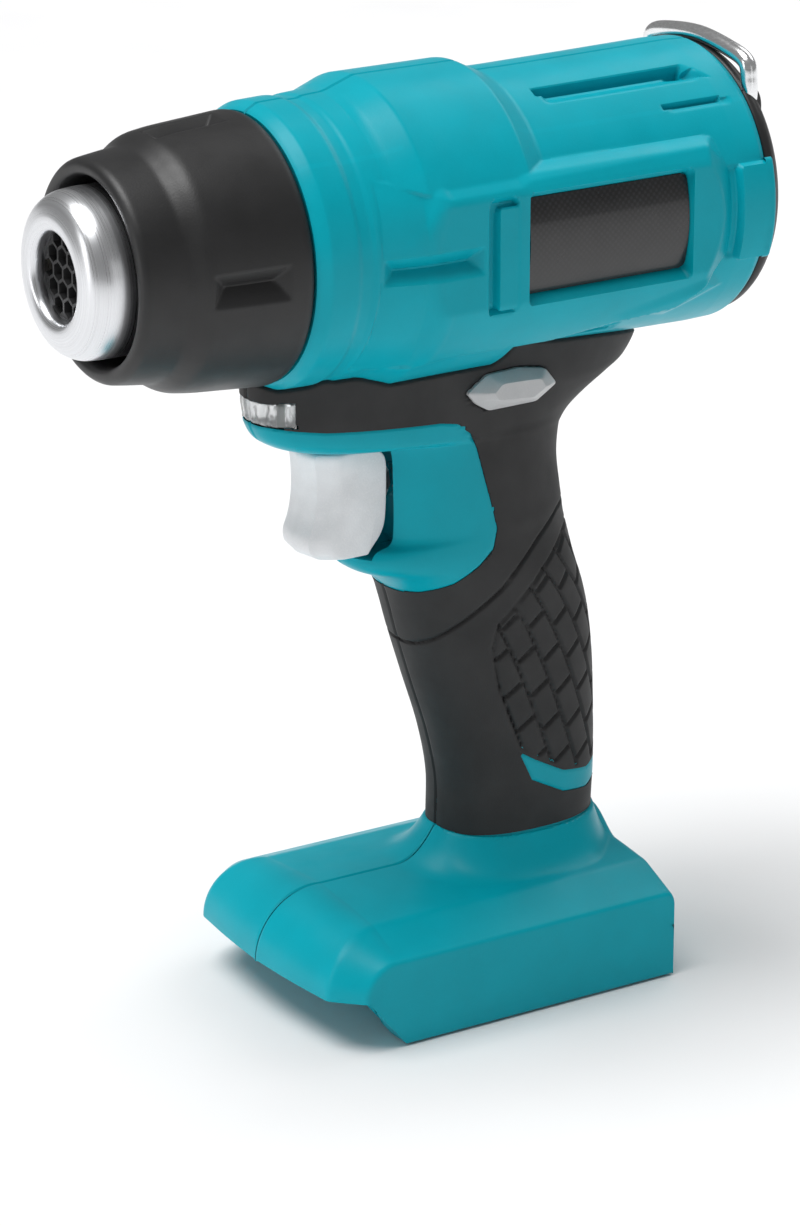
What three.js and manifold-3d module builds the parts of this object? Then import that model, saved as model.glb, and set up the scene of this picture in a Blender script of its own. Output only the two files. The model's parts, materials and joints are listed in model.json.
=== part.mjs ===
// Cordless heat gun (bare tool, no battery pack). Millimetres, +Z up, nozzle towards -Y, user's left at +X.
// Two clamshell halves hold the heater, blower, switch and battery terminals; a soft skin covers the grip.
import * as THREE from "three";
import { ConvexGeometry } from "three/addons/geometries/ConvexGeometry.js";
import { mergeVertices } from "three/addons/utils/BufferGeometryUtils.js";
import Module from "manifold-3d";

const wasm = await Module();
wasm.setup();

// ---------- driving dimensions ----------
const gap = 0.3; // clearance between pieces that touch
const runningGap = 0.5; // clearance around pieces that move

const axisHeight = 192; // barrel axis above the foot's underside
const bodyFront = -41.5; // front edge of the clamshell barrel
const bodyRear = 82; // rear edge of the clamshell barrel
const bodyRadius = 34;
const wall = 2.6; // clamshell wall
const bandHeight = 2.9; // raised band round the blower
const panelHeight = 1.7; // raised side panel over the barrel
const partingGap = 0.3; // between the two halves
const beyond = 70; // far enough to pass the outside of the grip, saddle and foot

const nozzleRadius = 19.8; // outside of the steel outlet
const nozzleWall = 0.9;
const nozzleTip = -92.2; // front of the outlet's rolled lip
const outletRadius = 10.3;
const cellPitch = 4.5; // honeycomb in the outlet
const cellWall = 0.7;
const collarLength = 40.5; // the twist collar in front of the clamshell
const collarWall = 2.6;
const collarNoseRadius = 27; // front step of the collar
const collarRadius = 32;
const collarMouth = 21.8; // radius of the collar's front opening
const collarTwist = 20; // degrees from locked to released

const footWidth = 74;
const footRear = 56.8;
const footFront = -23; // axis about which the foot's front rolls down
const footShoulder = 22; // top of the foot's upright sides
const footTop = 29.5;
const footCut = 13; // underside of the foot's rolled front
const railHeight = 3.6;
const railReach = 3.5; // rails stand inward from the slot's side walls
const footWall = 4;

const skin = 1.8; // soft overmould thickness
const gripSharpness = 2.4; // exponent of the grip's rounded sections
const motorRadius = 14;
const motorLength = 36;
const wireRadius = 1.2;
const fanRadius = 26;
const bladeCount = 9;
const hookWireRadius = 2.1;
const hookSpan = 20.6; // half the width of the hanging hook
const hookRise = 14.4; // from its pivot to the middle of the top wire
const capDepth = 9; // rear cap behind the clamshell

// ---------- derived places ----------
const saddleTop = axisHeight - bodyRadius;
const cavityRadius = bodyRadius - wall;
const halfFoot = footWidth / 2;
const fromFoot = (d) => footTop + d;
const belowBarrel = (d) => saddleTop - d;

// ---------- helpers ----------
const X = new THREE.Vector3(1, 0, 0);
const Y = new THREE.Vector3(0, 1, 0);
const Z = new THREE.Vector3(0, 0, 1);

/** A closed three.js geometry as a manifold-3d solid. */
function solid(geometry) {
  const bare = new THREE.BufferGeometry();
  bare.setAttribute("position", geometry.getAttribute("position").clone());
  if (geometry.index) bare.setIndex(geometry.index.clone());
  const merged = mergeVertices(bare, 1e-3);
  const index = merged.index.array;
  const kept = [];
  for (let i = 0; i < index.length; i += 3) {
    const [a, b, c] = [index[i], index[i + 1], index[i + 2]];
    if (a !== b && b !== c && a !== c) kept.push(a, b, c);
  }
  const make = (triangles) =>
    new wasm.Manifold(
      new wasm.Mesh({
        numProp: 3,
        vertProperties: merged.getAttribute("position").array,
        triVerts: new Uint32Array(triangles),
      }),
    );
  const made = make(kept);
  if (made.volume() > 0) return made;
  for (let i = 0; i < kept.length; i += 3) [kept[i + 1], kept[i + 2]] = [kept[i + 2], kept[i + 1]];
  return make(kept);
}

const union = (...solids) => solids.reduce((a, b) => a.add(b));
const cut = (a, ...tools) => tools.reduce((left, tool) => left.subtract(tool), a);

/** A box from its two corners. */
function box(low, high) {
  const size = high.map((v, i) => v - low[i]);
  const g = new THREE.BoxGeometry(...size);
  g.translate(...low.map((v, i) => v + size[i] / 2));
  return solid(g);
}

/** Turns a [radius, y] profile round the barrel axis. */
function turned(profile, segments = 28) {
  const g = new THREE.LatheGeometry(profile.map(([r, y]) => new THREE.Vector2(r, y)), segments);
  g.translate(0, 0, axisHeight);
  return solid(g);
}

/** A disc or drum round the barrel axis. */
function drum(radius, y0, y1, segments = 28) {
  return turned([[0, y0], [radius, y0], [radius, y1], [0, y1]], segments);
}

/** A tube round the barrel axis. */
function tube(outer, inner, y0, y1, segments = 28) {
  return turned([[inner, y0], [outer, y0], [outer, y1], [inner, y1], [inner, y0]], segments);
}

/** A solid round bar along a direction, from its centre point. */
function bar(radius, length, centre, direction, segments = 8) {
  const g = new THREE.CylinderGeometry(radius, radius, length, segments);
  g.applyQuaternion(new THREE.Quaternion().setFromUnitVectors(Y, direction));
  g.translate(...centre);
  return solid(g);
}

/** A [y, z] outline extruded along X. */
function sideProfile(points, x0, x1) {
  const g = new THREE.ExtrudeGeometry(new THREE.Shape(points.map(([y, z]) => new THREE.Vector2(y, z))), {
    depth: x1 - x0,
    bevelEnabled: false,
  });
  g.applyMatrix4(new THREE.Matrix4().makeBasis(Y, Z, X).setPosition(x0, 0, 0));
  return solid(g);
}

/** An [x, z] outline, with holes, extruded along Y. */
function frontProfile(points, y0, y1, holes = []) {
  const shape = new THREE.Shape(points.map(([x, z]) => new THREE.Vector2(x, z)));
  shape.holes = holes.map((hole) => new THREE.Path(hole.map(([x, z]) => new THREE.Vector2(x, z))));
  const g = new THREE.ExtrudeGeometry(shape, { depth: y1 - y0, bevelEnabled: false });
  g.applyMatrix4(new THREE.Matrix4().makeBasis(X, Z, Y.clone().negate()).setPosition(0, y1, 0));
  return solid(g);
}

/** An [x, y] outline extruded upwards. */
function planProfile(points, z0, z1) {
  const shape = new THREE.Shape(points.map(([x, y]) => new THREE.Vector2(x, y)));
  const g = new THREE.ExtrudeGeometry(shape, { depth: z1 - z0, bevelEnabled: false });
  g.translate(0, 0, z0);
  return solid(g);
}

/** Grows a closed [y, z] outline by d, moving each edge along its outward normal. */
function grown(points, d) {
  const n = points.length;
  const area = points.reduce((sum, [y, z], i) => {
    const [y2, z2] = points[(i + 1) % n];
    return sum + y * z2 - y2 * z;
  }, 0);
  const turn = Math.sign(area);
  const normal = ([y1, z1], [y2, z2]) => {
    const length = Math.hypot(y2 - y1, z2 - z1);
    return [(turn * (z2 - z1)) / length, (-turn * (y2 - y1)) / length];
  };
  return points.map((point, i) => {
    const before = normal(points[(i + n - 1) % n], point);
    const after = normal(point, points[(i + 1) % n]);
    const share = d / (1 + before[0] * after[0] + before[1] * after[1]);
    return [point[0] + share * (before[0] + after[0]), point[1] + share * (before[1] + after[1])];
  });
}

/** A solid through rings of points that all have the same count, closed by a fan at each end. */
function rings(list) {
  const count = list[0].length;
  const positions = [];
  list.forEach((ring) => ring.forEach((p) => positions.push(...p)));
  const index = [];
  for (let i = 0; i + 1 < list.length; i++) {
    for (let j = 0; j < count; j++) {
      const a = i * count + j;
      const b = i * count + ((j + 1) % count);
      index.push(a, b, a + count, b, b + count, a + count);
    }
  }
  [0, list.length - 1].forEach((i) => {
    const middle = positions.length / 3;
    const mean = [0, 1, 2].map((k) => list[i].reduce((sum, p) => sum + p[k], 0) / count);
    positions.push(...mean);
    for (let j = 0; j < count; j++) {
      const a = i * count + j;
      const b = i * count + ((j + 1) % count);
      if (i === 0) index.push(middle, b, a);
      else index.push(middle, a, b);
    }
  });
  const g = new THREE.BufferGeometry();
  g.setAttribute("position", new THREE.Float32BufferAttribute(positions, 3));
  g.setIndex(index);
  return solid(g);
}

/** Corner points of a regular polygon. */
function polygon(radius, sides, [u, v] = [0, 0], turn = 0) {
  return Array.from({ length: sides }, (_, i) => {
    const angle = (2 * Math.PI * i) / sides + turn;
    return [u + radius * Math.cos(angle), v + radius * Math.sin(angle)];
  });
}

/** A round rod bent along points. */
function rod(points, radius, steps, sides = 8) {
  const section = new THREE.Shape(polygon(radius, sides).map(([u, v]) => new THREE.Vector2(u, v)));
  const curve = new THREE.CatmullRomCurve3(points.map((p) => new THREE.Vector3(...p)), false, "centripetal");
  return solid(new THREE.ExtrudeGeometry(section, { extrudePath: curve, steps, bevelEnabled: false }));
}

/** A helical wire along Y round a centre line at height z. */
function coil(radius, wire, y0, y1, z, turns, stepsPerTurn, sides) {
  const count = turns * stepsPerTurn;
  const points = Array.from({ length: count + 1 }, (_, i) => {
    const angle = (2 * Math.PI * i) / stepsPerTurn;
    const y = y0 + wire + ((y1 - y0 - 2 * wire) * i) / count;
    return [radius * Math.cos(angle), y, z + radius * Math.sin(angle)];
  });
  return rod(points, wire, count, sides);
}

/** A V-shaped grip notch along Y with sloped ends, cut into a surface at x = reach. */
function notch(y0, y1, zMiddle, width, reach, depth) {
  const slope = width / 2;
  const corners = [-1, 1].flatMap((side) => [
    [reach + depth, y0 - slope, zMiddle + side * width],
    [reach + depth, y1 + slope, zMiddle + side * width],
  ]);
  const root = [[reach - depth, y0 + slope, zMiddle], [reach - depth, y1 - slope, zMiddle]];
  return solid(new ConvexGeometry([...corners, ...root].map((p) => new THREE.Vector3(...p))));
}

/** The same solid turned by an angle round the barrel axis. */
function aroundAxis(shape, degrees) {
  return shape.translate([0, 0, -axisHeight]).rotate([0, degrees, 0]).translate([0, 0, axisHeight]);
}

const mirrored = (shape) => shape.mirror([1, 0, 0]);

// ---------- grip outline ----------
// Matching front and rear points with the half width there, from inside the foot to inside the barrel.
const gripStations = [
  { front: [10.6, fromFoot(-8)], rear: [53.2, fromFoot(-8)], half: 14.4 },
  { front: [10.2, fromFoot(7.5)], rear: [53.4, fromFoot(7.5)], half: 14.6 },
  { front: [10.2, fromFoot(20)], rear: [53.8, fromFoot(19)], half: 14.9 },
  { front: [7.6, fromFoot(33)], rear: [53.6, fromFoot(33)], half: 15.3 },
  { front: [2.9, fromFoot(47.5)], rear: [52.9, fromFoot(48)], half: 15.9 },
  { front: [-1.2, belowBarrel(68)], rear: [51.4, belowBarrel(69)], half: 16.4 },
  { front: [-3.4, belowBarrel(60)], rear: [49.4, belowBarrel(61)], half: 16.8 },
  { front: [-5.4, belowBarrel(54.5)], rear: [47.6, belowBarrel(56)], half: 17 },
  { front: [-9.6, belowBarrel(51)], rear: [46.4, belowBarrel(52)], half: 17 },
  { front: [-15, belowBarrel(48.6)], rear: [45.4, belowBarrel(48)], half: 17 },
  { front: [-17.4, belowBarrel(46)], rear: [44.6, belowBarrel(45)], half: 17 },
  { front: [-16.4, belowBarrel(43.2)], rear: [43.8, belowBarrel(42)], half: 16.9 },
  { front: [-12.2, belowBarrel(41.6)], rear: [43.2, belowBarrel(38.5)], half: 16.8 },
  { front: [-11.2, belowBarrel(38)], rear: [42.6, belowBarrel(35)], half: 16.7 },
  { front: [-11.2, belowBarrel(28)], rear: [41.6, belowBarrel(27)], half: 16.5 },
  { front: [-12, belowBarrel(18)], rear: [42.1, belowBarrel(20.5)], half: 16.5 },
  { front: [-16, belowBarrel(16.4)], rear: [43.2, belowBarrel(18)], half: 16.6 },
  { front: [-30, belowBarrel(16.2)], rear: [46.4, belowBarrel(15)], half: 16.8 },
  { front: [-38, belowBarrel(13.6)], rear: [51.6, belowBarrel(11.6)], half: 17 },
  { front: [-41.2, belowBarrel(9)], rear: [57.6, belowBarrel(8.2)], half: 17.2 },
  { front: [-42, belowBarrel(4)], rear: [62.2, belowBarrel(5)], half: 17.5 },
  { front: [-42, belowBarrel(-4)], rear: [65.6, belowBarrel(-1.5)], half: 17.9 },
  { front: [-41, belowBarrel(-12)], rear: [66, belowBarrel(-12)], half: 18 },
];

/** Moves each point of an open [y, z] line inward, to its right as it is walked. */
function insetLine(points, d) {
  return points.map(([y, z], i) => {
    const [y0, z0] = points[Math.max(i - 1, 0)];
    const [y1, z1] = points[Math.min(i + 1, points.length - 1)];
    const length = Math.hypot(y1 - y0, z1 - z0);
    return [y + (d * (z1 - z0)) / length, z - (d * (y1 - y0)) / length];
  });
}

/** The grip's solid, drawn in by inset from its outer surface. */
function gripSolid(inset, stations = gripStations, ringPoints = 16) {
  const fronts = insetLine(stations.map((s) => s.front), inset);
  const rears = insetLine(stations.map((s) => s.rear), -inset);
  return rings(
    stations.map((station, i) => {
      const [fy, fz] = fronts[i];
      const [ry, rz] = rears[i];
      return Array.from({ length: ringPoints }, (_, j) => {
        const angle = (2 * Math.PI * j) / ringPoints;
        const power = (v) => Math.sign(v) * Math.abs(v) ** (2 / gripSharpness);
        const along = power(Math.cos(angle));
        const across = power(Math.sin(angle));
        return [
          (station.half - inset) * across,
          (fy + ry) / 2 + ((fy - ry) / 2) * along,
          (fz + rz) / 2 + ((fz - rz) / 2) * along,
        ];
      });
    }),
  );
}

// Where the hard shell shows round the trigger instead of the soft skin.
const triggerWindow = [
  [-beyond, belowBarrel(9.6)], [-40, belowBarrel(8.2)], [-28, belowBarrel(9.6)], [1, belowBarrel(11)],
  [6, belowBarrel(12)], [9.4, belowBarrel(15)], [11.4, belowBarrel(19)], [15.4, belowBarrel(33)],
  [17.2, belowBarrel(40)], [16, belowBarrel(45)], [12, belowBarrel(48.6)], [5.6, belowBarrel(52.4)],
  [-1.4, belowBarrel(54.6)], [-8, belowBarrel(55)], [-beyond, belowBarrel(54)],
];
// The hard-shell chevron that shows through the skin at the heel of the grip.
const heelWindow = [
  [25.5, fromFoot(31)], [29, fromFoot(22)], [37, fromFoot(18)], [44, fromFoot(15.4)], [60, fromFoot(20)],
  [60, fromFoot(27)], [44, fromFoot(22.6)], [37, fromFoot(24.6)],
];
const skinFoot = fromFoot(7.5); // lower end of the soft skin

const gripOuter = gripSolid(0);
const belowSkin = (z) => box([-beyond, -beyond, 0], [beyond, 2 * beyond, z]);

// ---------- clamshell barrel ----------
const bodyProfile = [
  [0, bodyFront], [bodyRadius - 1.9, bodyFront], [bodyRadius - 0.3, bodyFront + 3.5],
  [bodyRadius - 0.3, bodyFront + 6.5], [bodyRadius - 0.9, bodyFront + 8], [bodyRadius - 0.3, bodyFront + 9.5],
  [bodyRadius, bodyFront + 20], [bodyRadius + bandHeight, bodyFront + 28],
  [bodyRadius + bandHeight, bodyFront + 56], [bodyRadius, bodyFront + 62], [bodyRadius + 0.4, bodyRear - 3.5],
  [bodyRadius - 1.2, bodyRear], [0, bodyRear],
];
const panelOutline = [
  [bodyFront + 16.5, axisHeight - 27], [bodyFront + 37, axisHeight - 23.5], [bodyFront + 58, axisHeight - 24],
  [bodyRear - 3, axisHeight - 22], [bodyRear - 3, axisHeight + 15], [bodyFront + 52, axisHeight + 13.5],
  [bodyFront + 33, axisHeight + 13.5], [bodyFront + 16.5, axisHeight + 20.5],
];
const spigotRadius = 28; // front sleeve that carries the collar
const spigotWall = 2;
const spigotLength = 10.5;
const lugs = { reach: 1.4, width: 6, y0: bodyFront - 8, y1: bodyFront - 5.5, angles: [30, 150, 270] };
const labelZone = { y0: bodyFront + 54.8, y1: bodyRear - 23.2, z0: axisHeight - 12, z1: axisHeight + 11.5 };
const plateThickness = 0.8;
const labelDepth = 2;

const panelTop = bodyRadius + panelHeight;
const tabs = { y0: bodyRear - 9, y1: bodyRear + 0.8, halfHeight: 12 }; // bumpers at the sides of the rear end

function barrelOutside() {
  const panelRange = sideProfile(panelOutline, 0, panelTop + 9);
  const panel = drum(panelTop, bodyFront + 8, bodyRear - 2).intersect(panelRange);
  const tab = tube(panelTop, cavityRadius - 1, tabs.y0, tabs.y1).intersect(
    box([20, tabs.y0, axisHeight - tabs.halfHeight], [panelTop + 1, tabs.y1, axisHeight + tabs.halfHeight]),
  );
  const spigot = drum(spigotRadius, bodyFront - spigotLength, bodyFront + 2);
  const lugBlock = box(
    [spigotRadius - 1, lugs.y0, axisHeight - lugs.width / 2],
    [spigotRadius + lugs.reach, lugs.y1, axisHeight + lugs.width / 2],
  );
  const lugRing = lugs.angles.map((angle) => aroundAxis(lugBlock, angle));
  return union(turned(bodyProfile), panel, mirrored(panel), tab, mirrored(tab), spigot, ...lugRing);
}

/** Grooves, notches, label recess and air slots of one side, as tools to cut with. */
function barrelCuts() {
  const sideNotch = notch(bodyFront + 18.5, bodyFront + 42, axisHeight - 3.5, 6.4, panelTop, 2.4);
  const label = cut(
    box([panelTop - 5, labelZone.y0, labelZone.z0], [panelTop + 5, labelZone.y1, labelZone.z1]),
    drum(panelTop - labelDepth, labelZone.y0 - 1, labelZone.y1 + 1),
  );
  const grooveDepth = 1.4;
  const past = panelTop + 5; // beyond the panel's face
  const groove = cut(
    box([panelTop - 3, bodyFront + 43.9, axisHeight - 13.5], [past, bodyFront + 52.2, axisHeight + 11.7]),
    box([0, bodyFront + 46.6, axisHeight - 12.6], [past + 1, bodyFront + 53, axisHeight + 10]),
    drum(panelTop - grooveDepth, bodyFront, bodyRear),
  );
  const slot = (angle, y0, y1, height) => {
    const level = box([cavityRadius - 4, y0, axisHeight - height / 2], [past, y1, axisHeight + height / 2]);
    return aroundAxis(level, -angle);
  };
  return [
    sideNotch, label, groove,
    slot(61, bodyRear - 52, bodyRear - 12, 2.4),
    slot(46.5, bodyRear - 23, bodyRear - 10, 1.4),
    slot(-50, bodyFront + 62, bodyFront + 92, 2.4),
  ];
}

// ---------- foot ----------
/** One ring of the foot's upper part. Angle 0 stands upright, 90 degrees is rolled down to the front. */
function footRing(y, angle) {
  const share = Math.sin(angle);
  const ridge = halfFoot - 12 + 5 * share; // where the sloping shoulder starts
  const half = [
    [halfFoot, 0], [halfFoot, footShoulder - footCut], [ridge, footTop - footCut - 3.2 + 2.6 * share],
    [ridge / 2, footTop - footCut - 0.8 + 2 * share], [0, footTop - footCut + 1.8 * share],
  ];
  const outline = [...half, ...half.slice(0, -1).reverse().map(([x, h]) => [-x, h])];
  return outline.map(([x, h]) => [x, y - h * Math.sin(angle), footCut + h * Math.cos(angle)]);
}

const slotHalf = halfFoot - footWall; // half width of the battery slot
const slotTop = footCut + 1;
const slotRear = footRear - footWall;

function footOutside() {
  const rolled = [0, 18, 36, 54, 72, 88].map((degrees) => footRing(footFront, (degrees * Math.PI) / 180));
  const upper = rings([footRing(footRear, 0), ...rolled]);
  const cutRise = 10.8; // how far forward the slanted front edge leans
  const lower = sideProfile(
    [[footRear, 0], [footRear, footCut + 1], [footFront + 2, footCut + 1], [footFront - 8.5, footCut + 0.2],
      [footFront - 8.5 + cutRise, 0]],
    -halfFoot, halfFoot,
  );
  const flare = gripSolid(0, [
    { front: [2, fromFoot(-4)], rear: [61, fromFoot(-4)], half: 23 },
    { front: [4.5, fromFoot(0)], rear: [59, fromFoot(0)], half: 20.5 },
    { front: [8.2, fromFoot(2.6)], rear: [55.6, fromFoot(2.6)], half: 16.8 },
    { front: [10.2, fromFoot(7.5)], rear: [53.4, fromFoot(7.5)], half: 14.6 },
  ]).intersect(box([-halfFoot, -beyond, 0], [halfFoot, footRear, axisHeight]));
  return union(upper, lower, flare);
}

/** Room for the battery's top: an open slot between two inward rails, and the floor above the terminals. */
function batterySlot() {
  const throat = box([-(slotHalf - railReach), -beyond, -1], [slotHalf - railReach, slotRear, slotTop]);
  const aboveRails = box([-slotHalf, -beyond, railHeight], [slotHalf, slotRear, slotTop]);
  return throat.add(aboveRails);
}

// ---------- inside the grip ----------
const cavityHalf = 16.5 - skin - wall - gap; // half width of the hollow grip
const gripCavityStations = [
  { front: [17, slotTop + 2.6], rear: [47.5, slotTop + 2.6], half: cavityHalf - 1.6 },
  { front: [15.5, fromFoot(20)], rear: [48.5, fromFoot(19)], half: cavityHalf - 1.4 },
  { front: [12.6, fromFoot(33)], rear: [48.4, fromFoot(33)], half: cavityHalf - 1 },
  { front: [8, fromFoot(47.5)], rear: [47.6, fromFoot(48)], half: cavityHalf - 0.4 },
  { front: [3.8, belowBarrel(68)], rear: [46, belowBarrel(69)], half: cavityHalf },
  { front: [-0.6, belowBarrel(54)], rear: [42, belowBarrel(54)], half: cavityHalf },
  { front: [-6.4, belowBarrel(42)], rear: [38, belowBarrel(38)], half: cavityHalf },
  { front: [-7, belowBarrel(28)], rear: [36.4, belowBarrel(27)], half: cavityHalf },
  { front: [-7, belowBarrel(18)], rear: [37, belowBarrel(18)], half: cavityHalf },
  { front: [-8, belowBarrel(12)], rear: [43, belowBarrel(11)], half: cavityHalf },
  { front: [-10, belowBarrel(4)], rear: [48, belowBarrel(4)], half: cavityHalf },
  { front: [-10, belowBarrel(-9)], rear: [50, belowBarrel(-9)], half: cavityHalf },
];

// Trigger: a block with a hollowed front face, on a stem that reaches the switch.
const triggerHalf = 9;
const triggerBottom = belowBarrel(43.5);
const triggerTop = belowBarrel(17.4);
const triggerBack = -8.5;
const triggerTravel = 6.5;
const triggerPocketRear = triggerBack + triggerTravel + 1;

function triggerPocket() {
  const room = runningGap;
  return box(
    [-triggerHalf - room, -30, triggerBottom - room],
    [triggerHalf + room, triggerPocketRear, triggerTop + room],
  );
}

// Switch behind the trigger, with a bore for the plunger.
const switchFront = 4;
const switchRear = 28;
const switchHalf = 8;
const plungerRadius = 2.3;
const plungerHeight = (triggerTop + triggerBottom) / 2 + 2;
const plungerTip = switchFront + 5;

// Lock button: a bar pushed through the saddle from side to side.
const lockY = 20;
const lockZ = belowBarrel(5);
const lockOutline = [
  [lockY - 12.5, lockZ + 0.4], [lockY - 10, lockZ - 2.6], [lockY - 6.6, lockZ - 4.6],
  [lockY + 6.8, lockZ - 4.4], [lockY + 12.5, lockZ - 0.8], [lockY + 9.4, lockZ + 3.2],
  [lockY + 2, lockZ + 4.6], [lockY - 7, lockZ + 4.2],
];
const lockTravel = 3.6;
const lockSunk = 0.6; // how far the button's far end lies below the surface
const lockHalf = 17.2; // half width of the saddle at the button

// Lamp in the nose, under the barrel.
const lampZone = { y: -36.6, z0: belowBarrel(7.8), z1: belowBarrel(-1.4) };

// ---------- screws ----------
const screwHead = 3; // radius
const screwShank = 1.5; // radius
const bossRadius = 3.6;
const screwPlaces = [
  { y: bodyFront + 9, z: axisHeight + bodyRadius - 6.2, reach: 12 },
  { y: bodyRear - 16, z: axisHeight + bodyRadius - 6.2, reach: 12 },
  { y: -22, z: belowBarrel(1), reach: 9 },
  { y: 56, z: belowBarrel(-1.5), reach: 9 },
  { y: 31, z: belowBarrel(60), reach: 12 },
  { y: 9.5, z: belowBarrel(50), reach: 12 },
  { y: 20.5, z: fromFoot(17), reach: 10 },
  { y: footFront - 4, z: fromFoot(-9), reach: 14 },
  { y: footRear - 8, z: fromFoot(-9), reach: 14 },
];

/** A round bar along X between two ends. */
const crossBar = (radius, x0, x1, y, z, sides = 8) => bar(radius, x1 - x0, [(x0 + x1) / 2, y, z], X, sides);

const headSeat = (reach) => 3 - reach; // the head bears here, sunk in the right half
const boss = ({ y, z, reach }) => crossBar(bossRadius, -reach, reach, y, z);
const screwHole = ({ y, z, reach }) =>
  union(
    crossBar(screwShank + gap, headSeat(reach) - 1, reach - 0.8, y, z),
    crossBar(screwHead + gap, -beyond, headSeat(reach), y, z),
  );

function screw({ y, z, reach }) {
  const under = headSeat(reach) - gap;
  const headDepth = 2.4;
  const head = crossBar(screwHead, under - headDepth, under, y, z);
  const shank = crossBar(screwShank, under - 0.5, reach - 0.8 - gap, y, z, 6);
  const drive = crossBar(1.1, under - headDepth - 1, under - headDepth + 1.2, y, z, 6);
  return cut(union(head, shank), drive);
}

// ---------- places along the barrel ----------
const capRim = bodyRadius - 1; // radius of the rear cap's edge
const capRear = bodyRear + capDepth;
const bulkhead = { y0: bodyFront + 19, thickness: 3 }; // insulating ring behind the heater
const mount = { y0: bodyFront + 66, thickness: 5 }; // ring that holds the motor
const seatWidth = 2; // ribs on each side of a ring
const seatReach = 1.6; // how far the ribs stand in from the shell
const ringRadius = cavityRadius - gap;
const leadChannel = box(
  [-12.4, bodyFront + 12, saddleTop], [12.4, mount.y0 + 20, axisHeight - cavityRadius + 4.6],
); // the way for the wires under the rings

// Hanging hook: its pivot ends turn in the rear cap's shoulders.
const hookPivot = { y: bodyRear + 3, z: axisHeight + 20.5 };
const shoulder = hookSpan - hookWireRadius - runningGap; // the cap is cut away outside this

const footFloor = slotTop + 2.6;
const terminal = { half: 12, y0: 18, y1: 42, low: 8, flange: 2 };
const blades = { positive: -8, signal: 0, negative: 8 };
const bladeHalf = 0.4;

// ---------- clamshell halves and soft skin ----------
/** The two ribs in the shell that hold a ring between them. */
function seatRibs({ y0, thickness }) {
  const rib = (start) => tube(cavityRadius + 1, cavityRadius - seatReach, start, start + seatWidth);
  return [rib(y0 - gap - seatWidth), rib(y0 + thickness + gap)].map((r) => cut(r, leadChannel));
}

const lampSeat = box([-beyond, -beyond, lampZone.z0 - gap], [beyond, lampZone.y + gap, lampZone.z1 + gap]);

function housingRooms() {
  const barrelRoom = turned([
    [0, bodyFront - 20], [spigotRadius - spigotWall, bodyFront - 20],
    [spigotRadius - spigotWall, bodyFront + 3], [cavityRadius, bodyFront + 6],
    [cavityRadius, bodyRear + gap / 2], [capRim + gap, bodyRear + gap / 2],
    [capRim + gap, bodyRear + 10], [0, bodyRear + 10],
  ]);
  const noseRoom = box([-9, lampZone.y + 3, belowBarrel(10)], [9, -6, belowBarrel(-6)]);
  const lightWay = box([-6, lampZone.y - 1, lampZone.z0 + 1.5], [6, lampZone.y + 4, lampZone.z0 + 6.5]);
  const footRoom = frontProfile(
    [[-29, footFloor], [29, footFloor], [29, footFloor + 4], [22, footFloor + 7.5], [-22, footFloor + 7.5],
      [-29, footFloor + 4]],
    footFront + 7, footRear - 7,
  );
  return union(barrelRoom, gripSolid(0, gripCavityStations, 12), noseRoom, lightWay, footRoom);
}

function housing() {
  const window = sideProfile(triggerWindow, -beyond, beyond);
  const heel = sideProfile(heelWindow, -beyond, beyond);
  const shown = union(
    gripOuter.intersect(window), gripOuter.intersect(belowSkin(skinFoot)), gripOuter.intersect(heel),
  );
  const outside = union(barrelOutside(), cut(union(gripSolid(skin + gap), shown), lampSeat), footOutside());
  const terminalWay = box(
    [-terminal.half, terminal.y0, slotTop - 1], [terminal.half, terminal.y1, footFloor + 1],
  );
  const bosses = screwPlaces.map((place) => boss(place).intersect(outside));
  const ribs = [bulkhead, mount].flatMap(seatRibs);
  const hollow = union(cut(outside, housingRooms()), ...ribs, ...bosses);
  const lockRoom = sideProfile(grown(lockOutline, runningGap), -beyond, beyond);
  const cuts = barrelCuts();
  return cut(
    hollow, batterySlot(), terminalWay, triggerPocket(), lockRoom,
    ...cuts, ...cuts.map(mirrored), ...screwPlaces.map(screwHole),
  );
}

function softSkin() {
  const barrelKeepOff = turned(bodyProfile.map(([r, y]) => [r ? r + gap : 0, y]));
  const collarKeepOff = drum(collarRadius + runningGap, -beyond, bodyFront + 0.2);
  const keepOff = [
    sideProfile(grown(triggerWindow, gap), -beyond, beyond),
    sideProfile(grown(heelWindow, gap), -beyond, beyond),
    sideProfile(grown(lockOutline, runningGap), -beyond, beyond),
    belowSkin(skinFoot + gap), barrelKeepOff, collarKeepOff, lampSeat, ...screwPlaces.map(screwHole),
  ];
  const aboveSaddle = box([-beyond, -beyond, belowBarrel(-9)], [beyond, beyond, axisHeight]);
  return cut(gripOuter, gripSolid(skin), aboveSaddle, ...keepOff);
}

function nameplate() {
  const under = panelTop - labelDepth + gap;
  const { y0, y1, z0, z1 } = labelZone;
  const side = box([0, y0, z0 + gap], [panelTop + 5, y1, z1 - gap]);
  return tube(under + plateThickness, under, y0 + gap, y1 - gap).intersect(side);
}

// ---------- front: collar, outlet and heater ----------
const collarRear = bodyFront - runningGap;
const collarFront = collarRear - collarLength;

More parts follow.
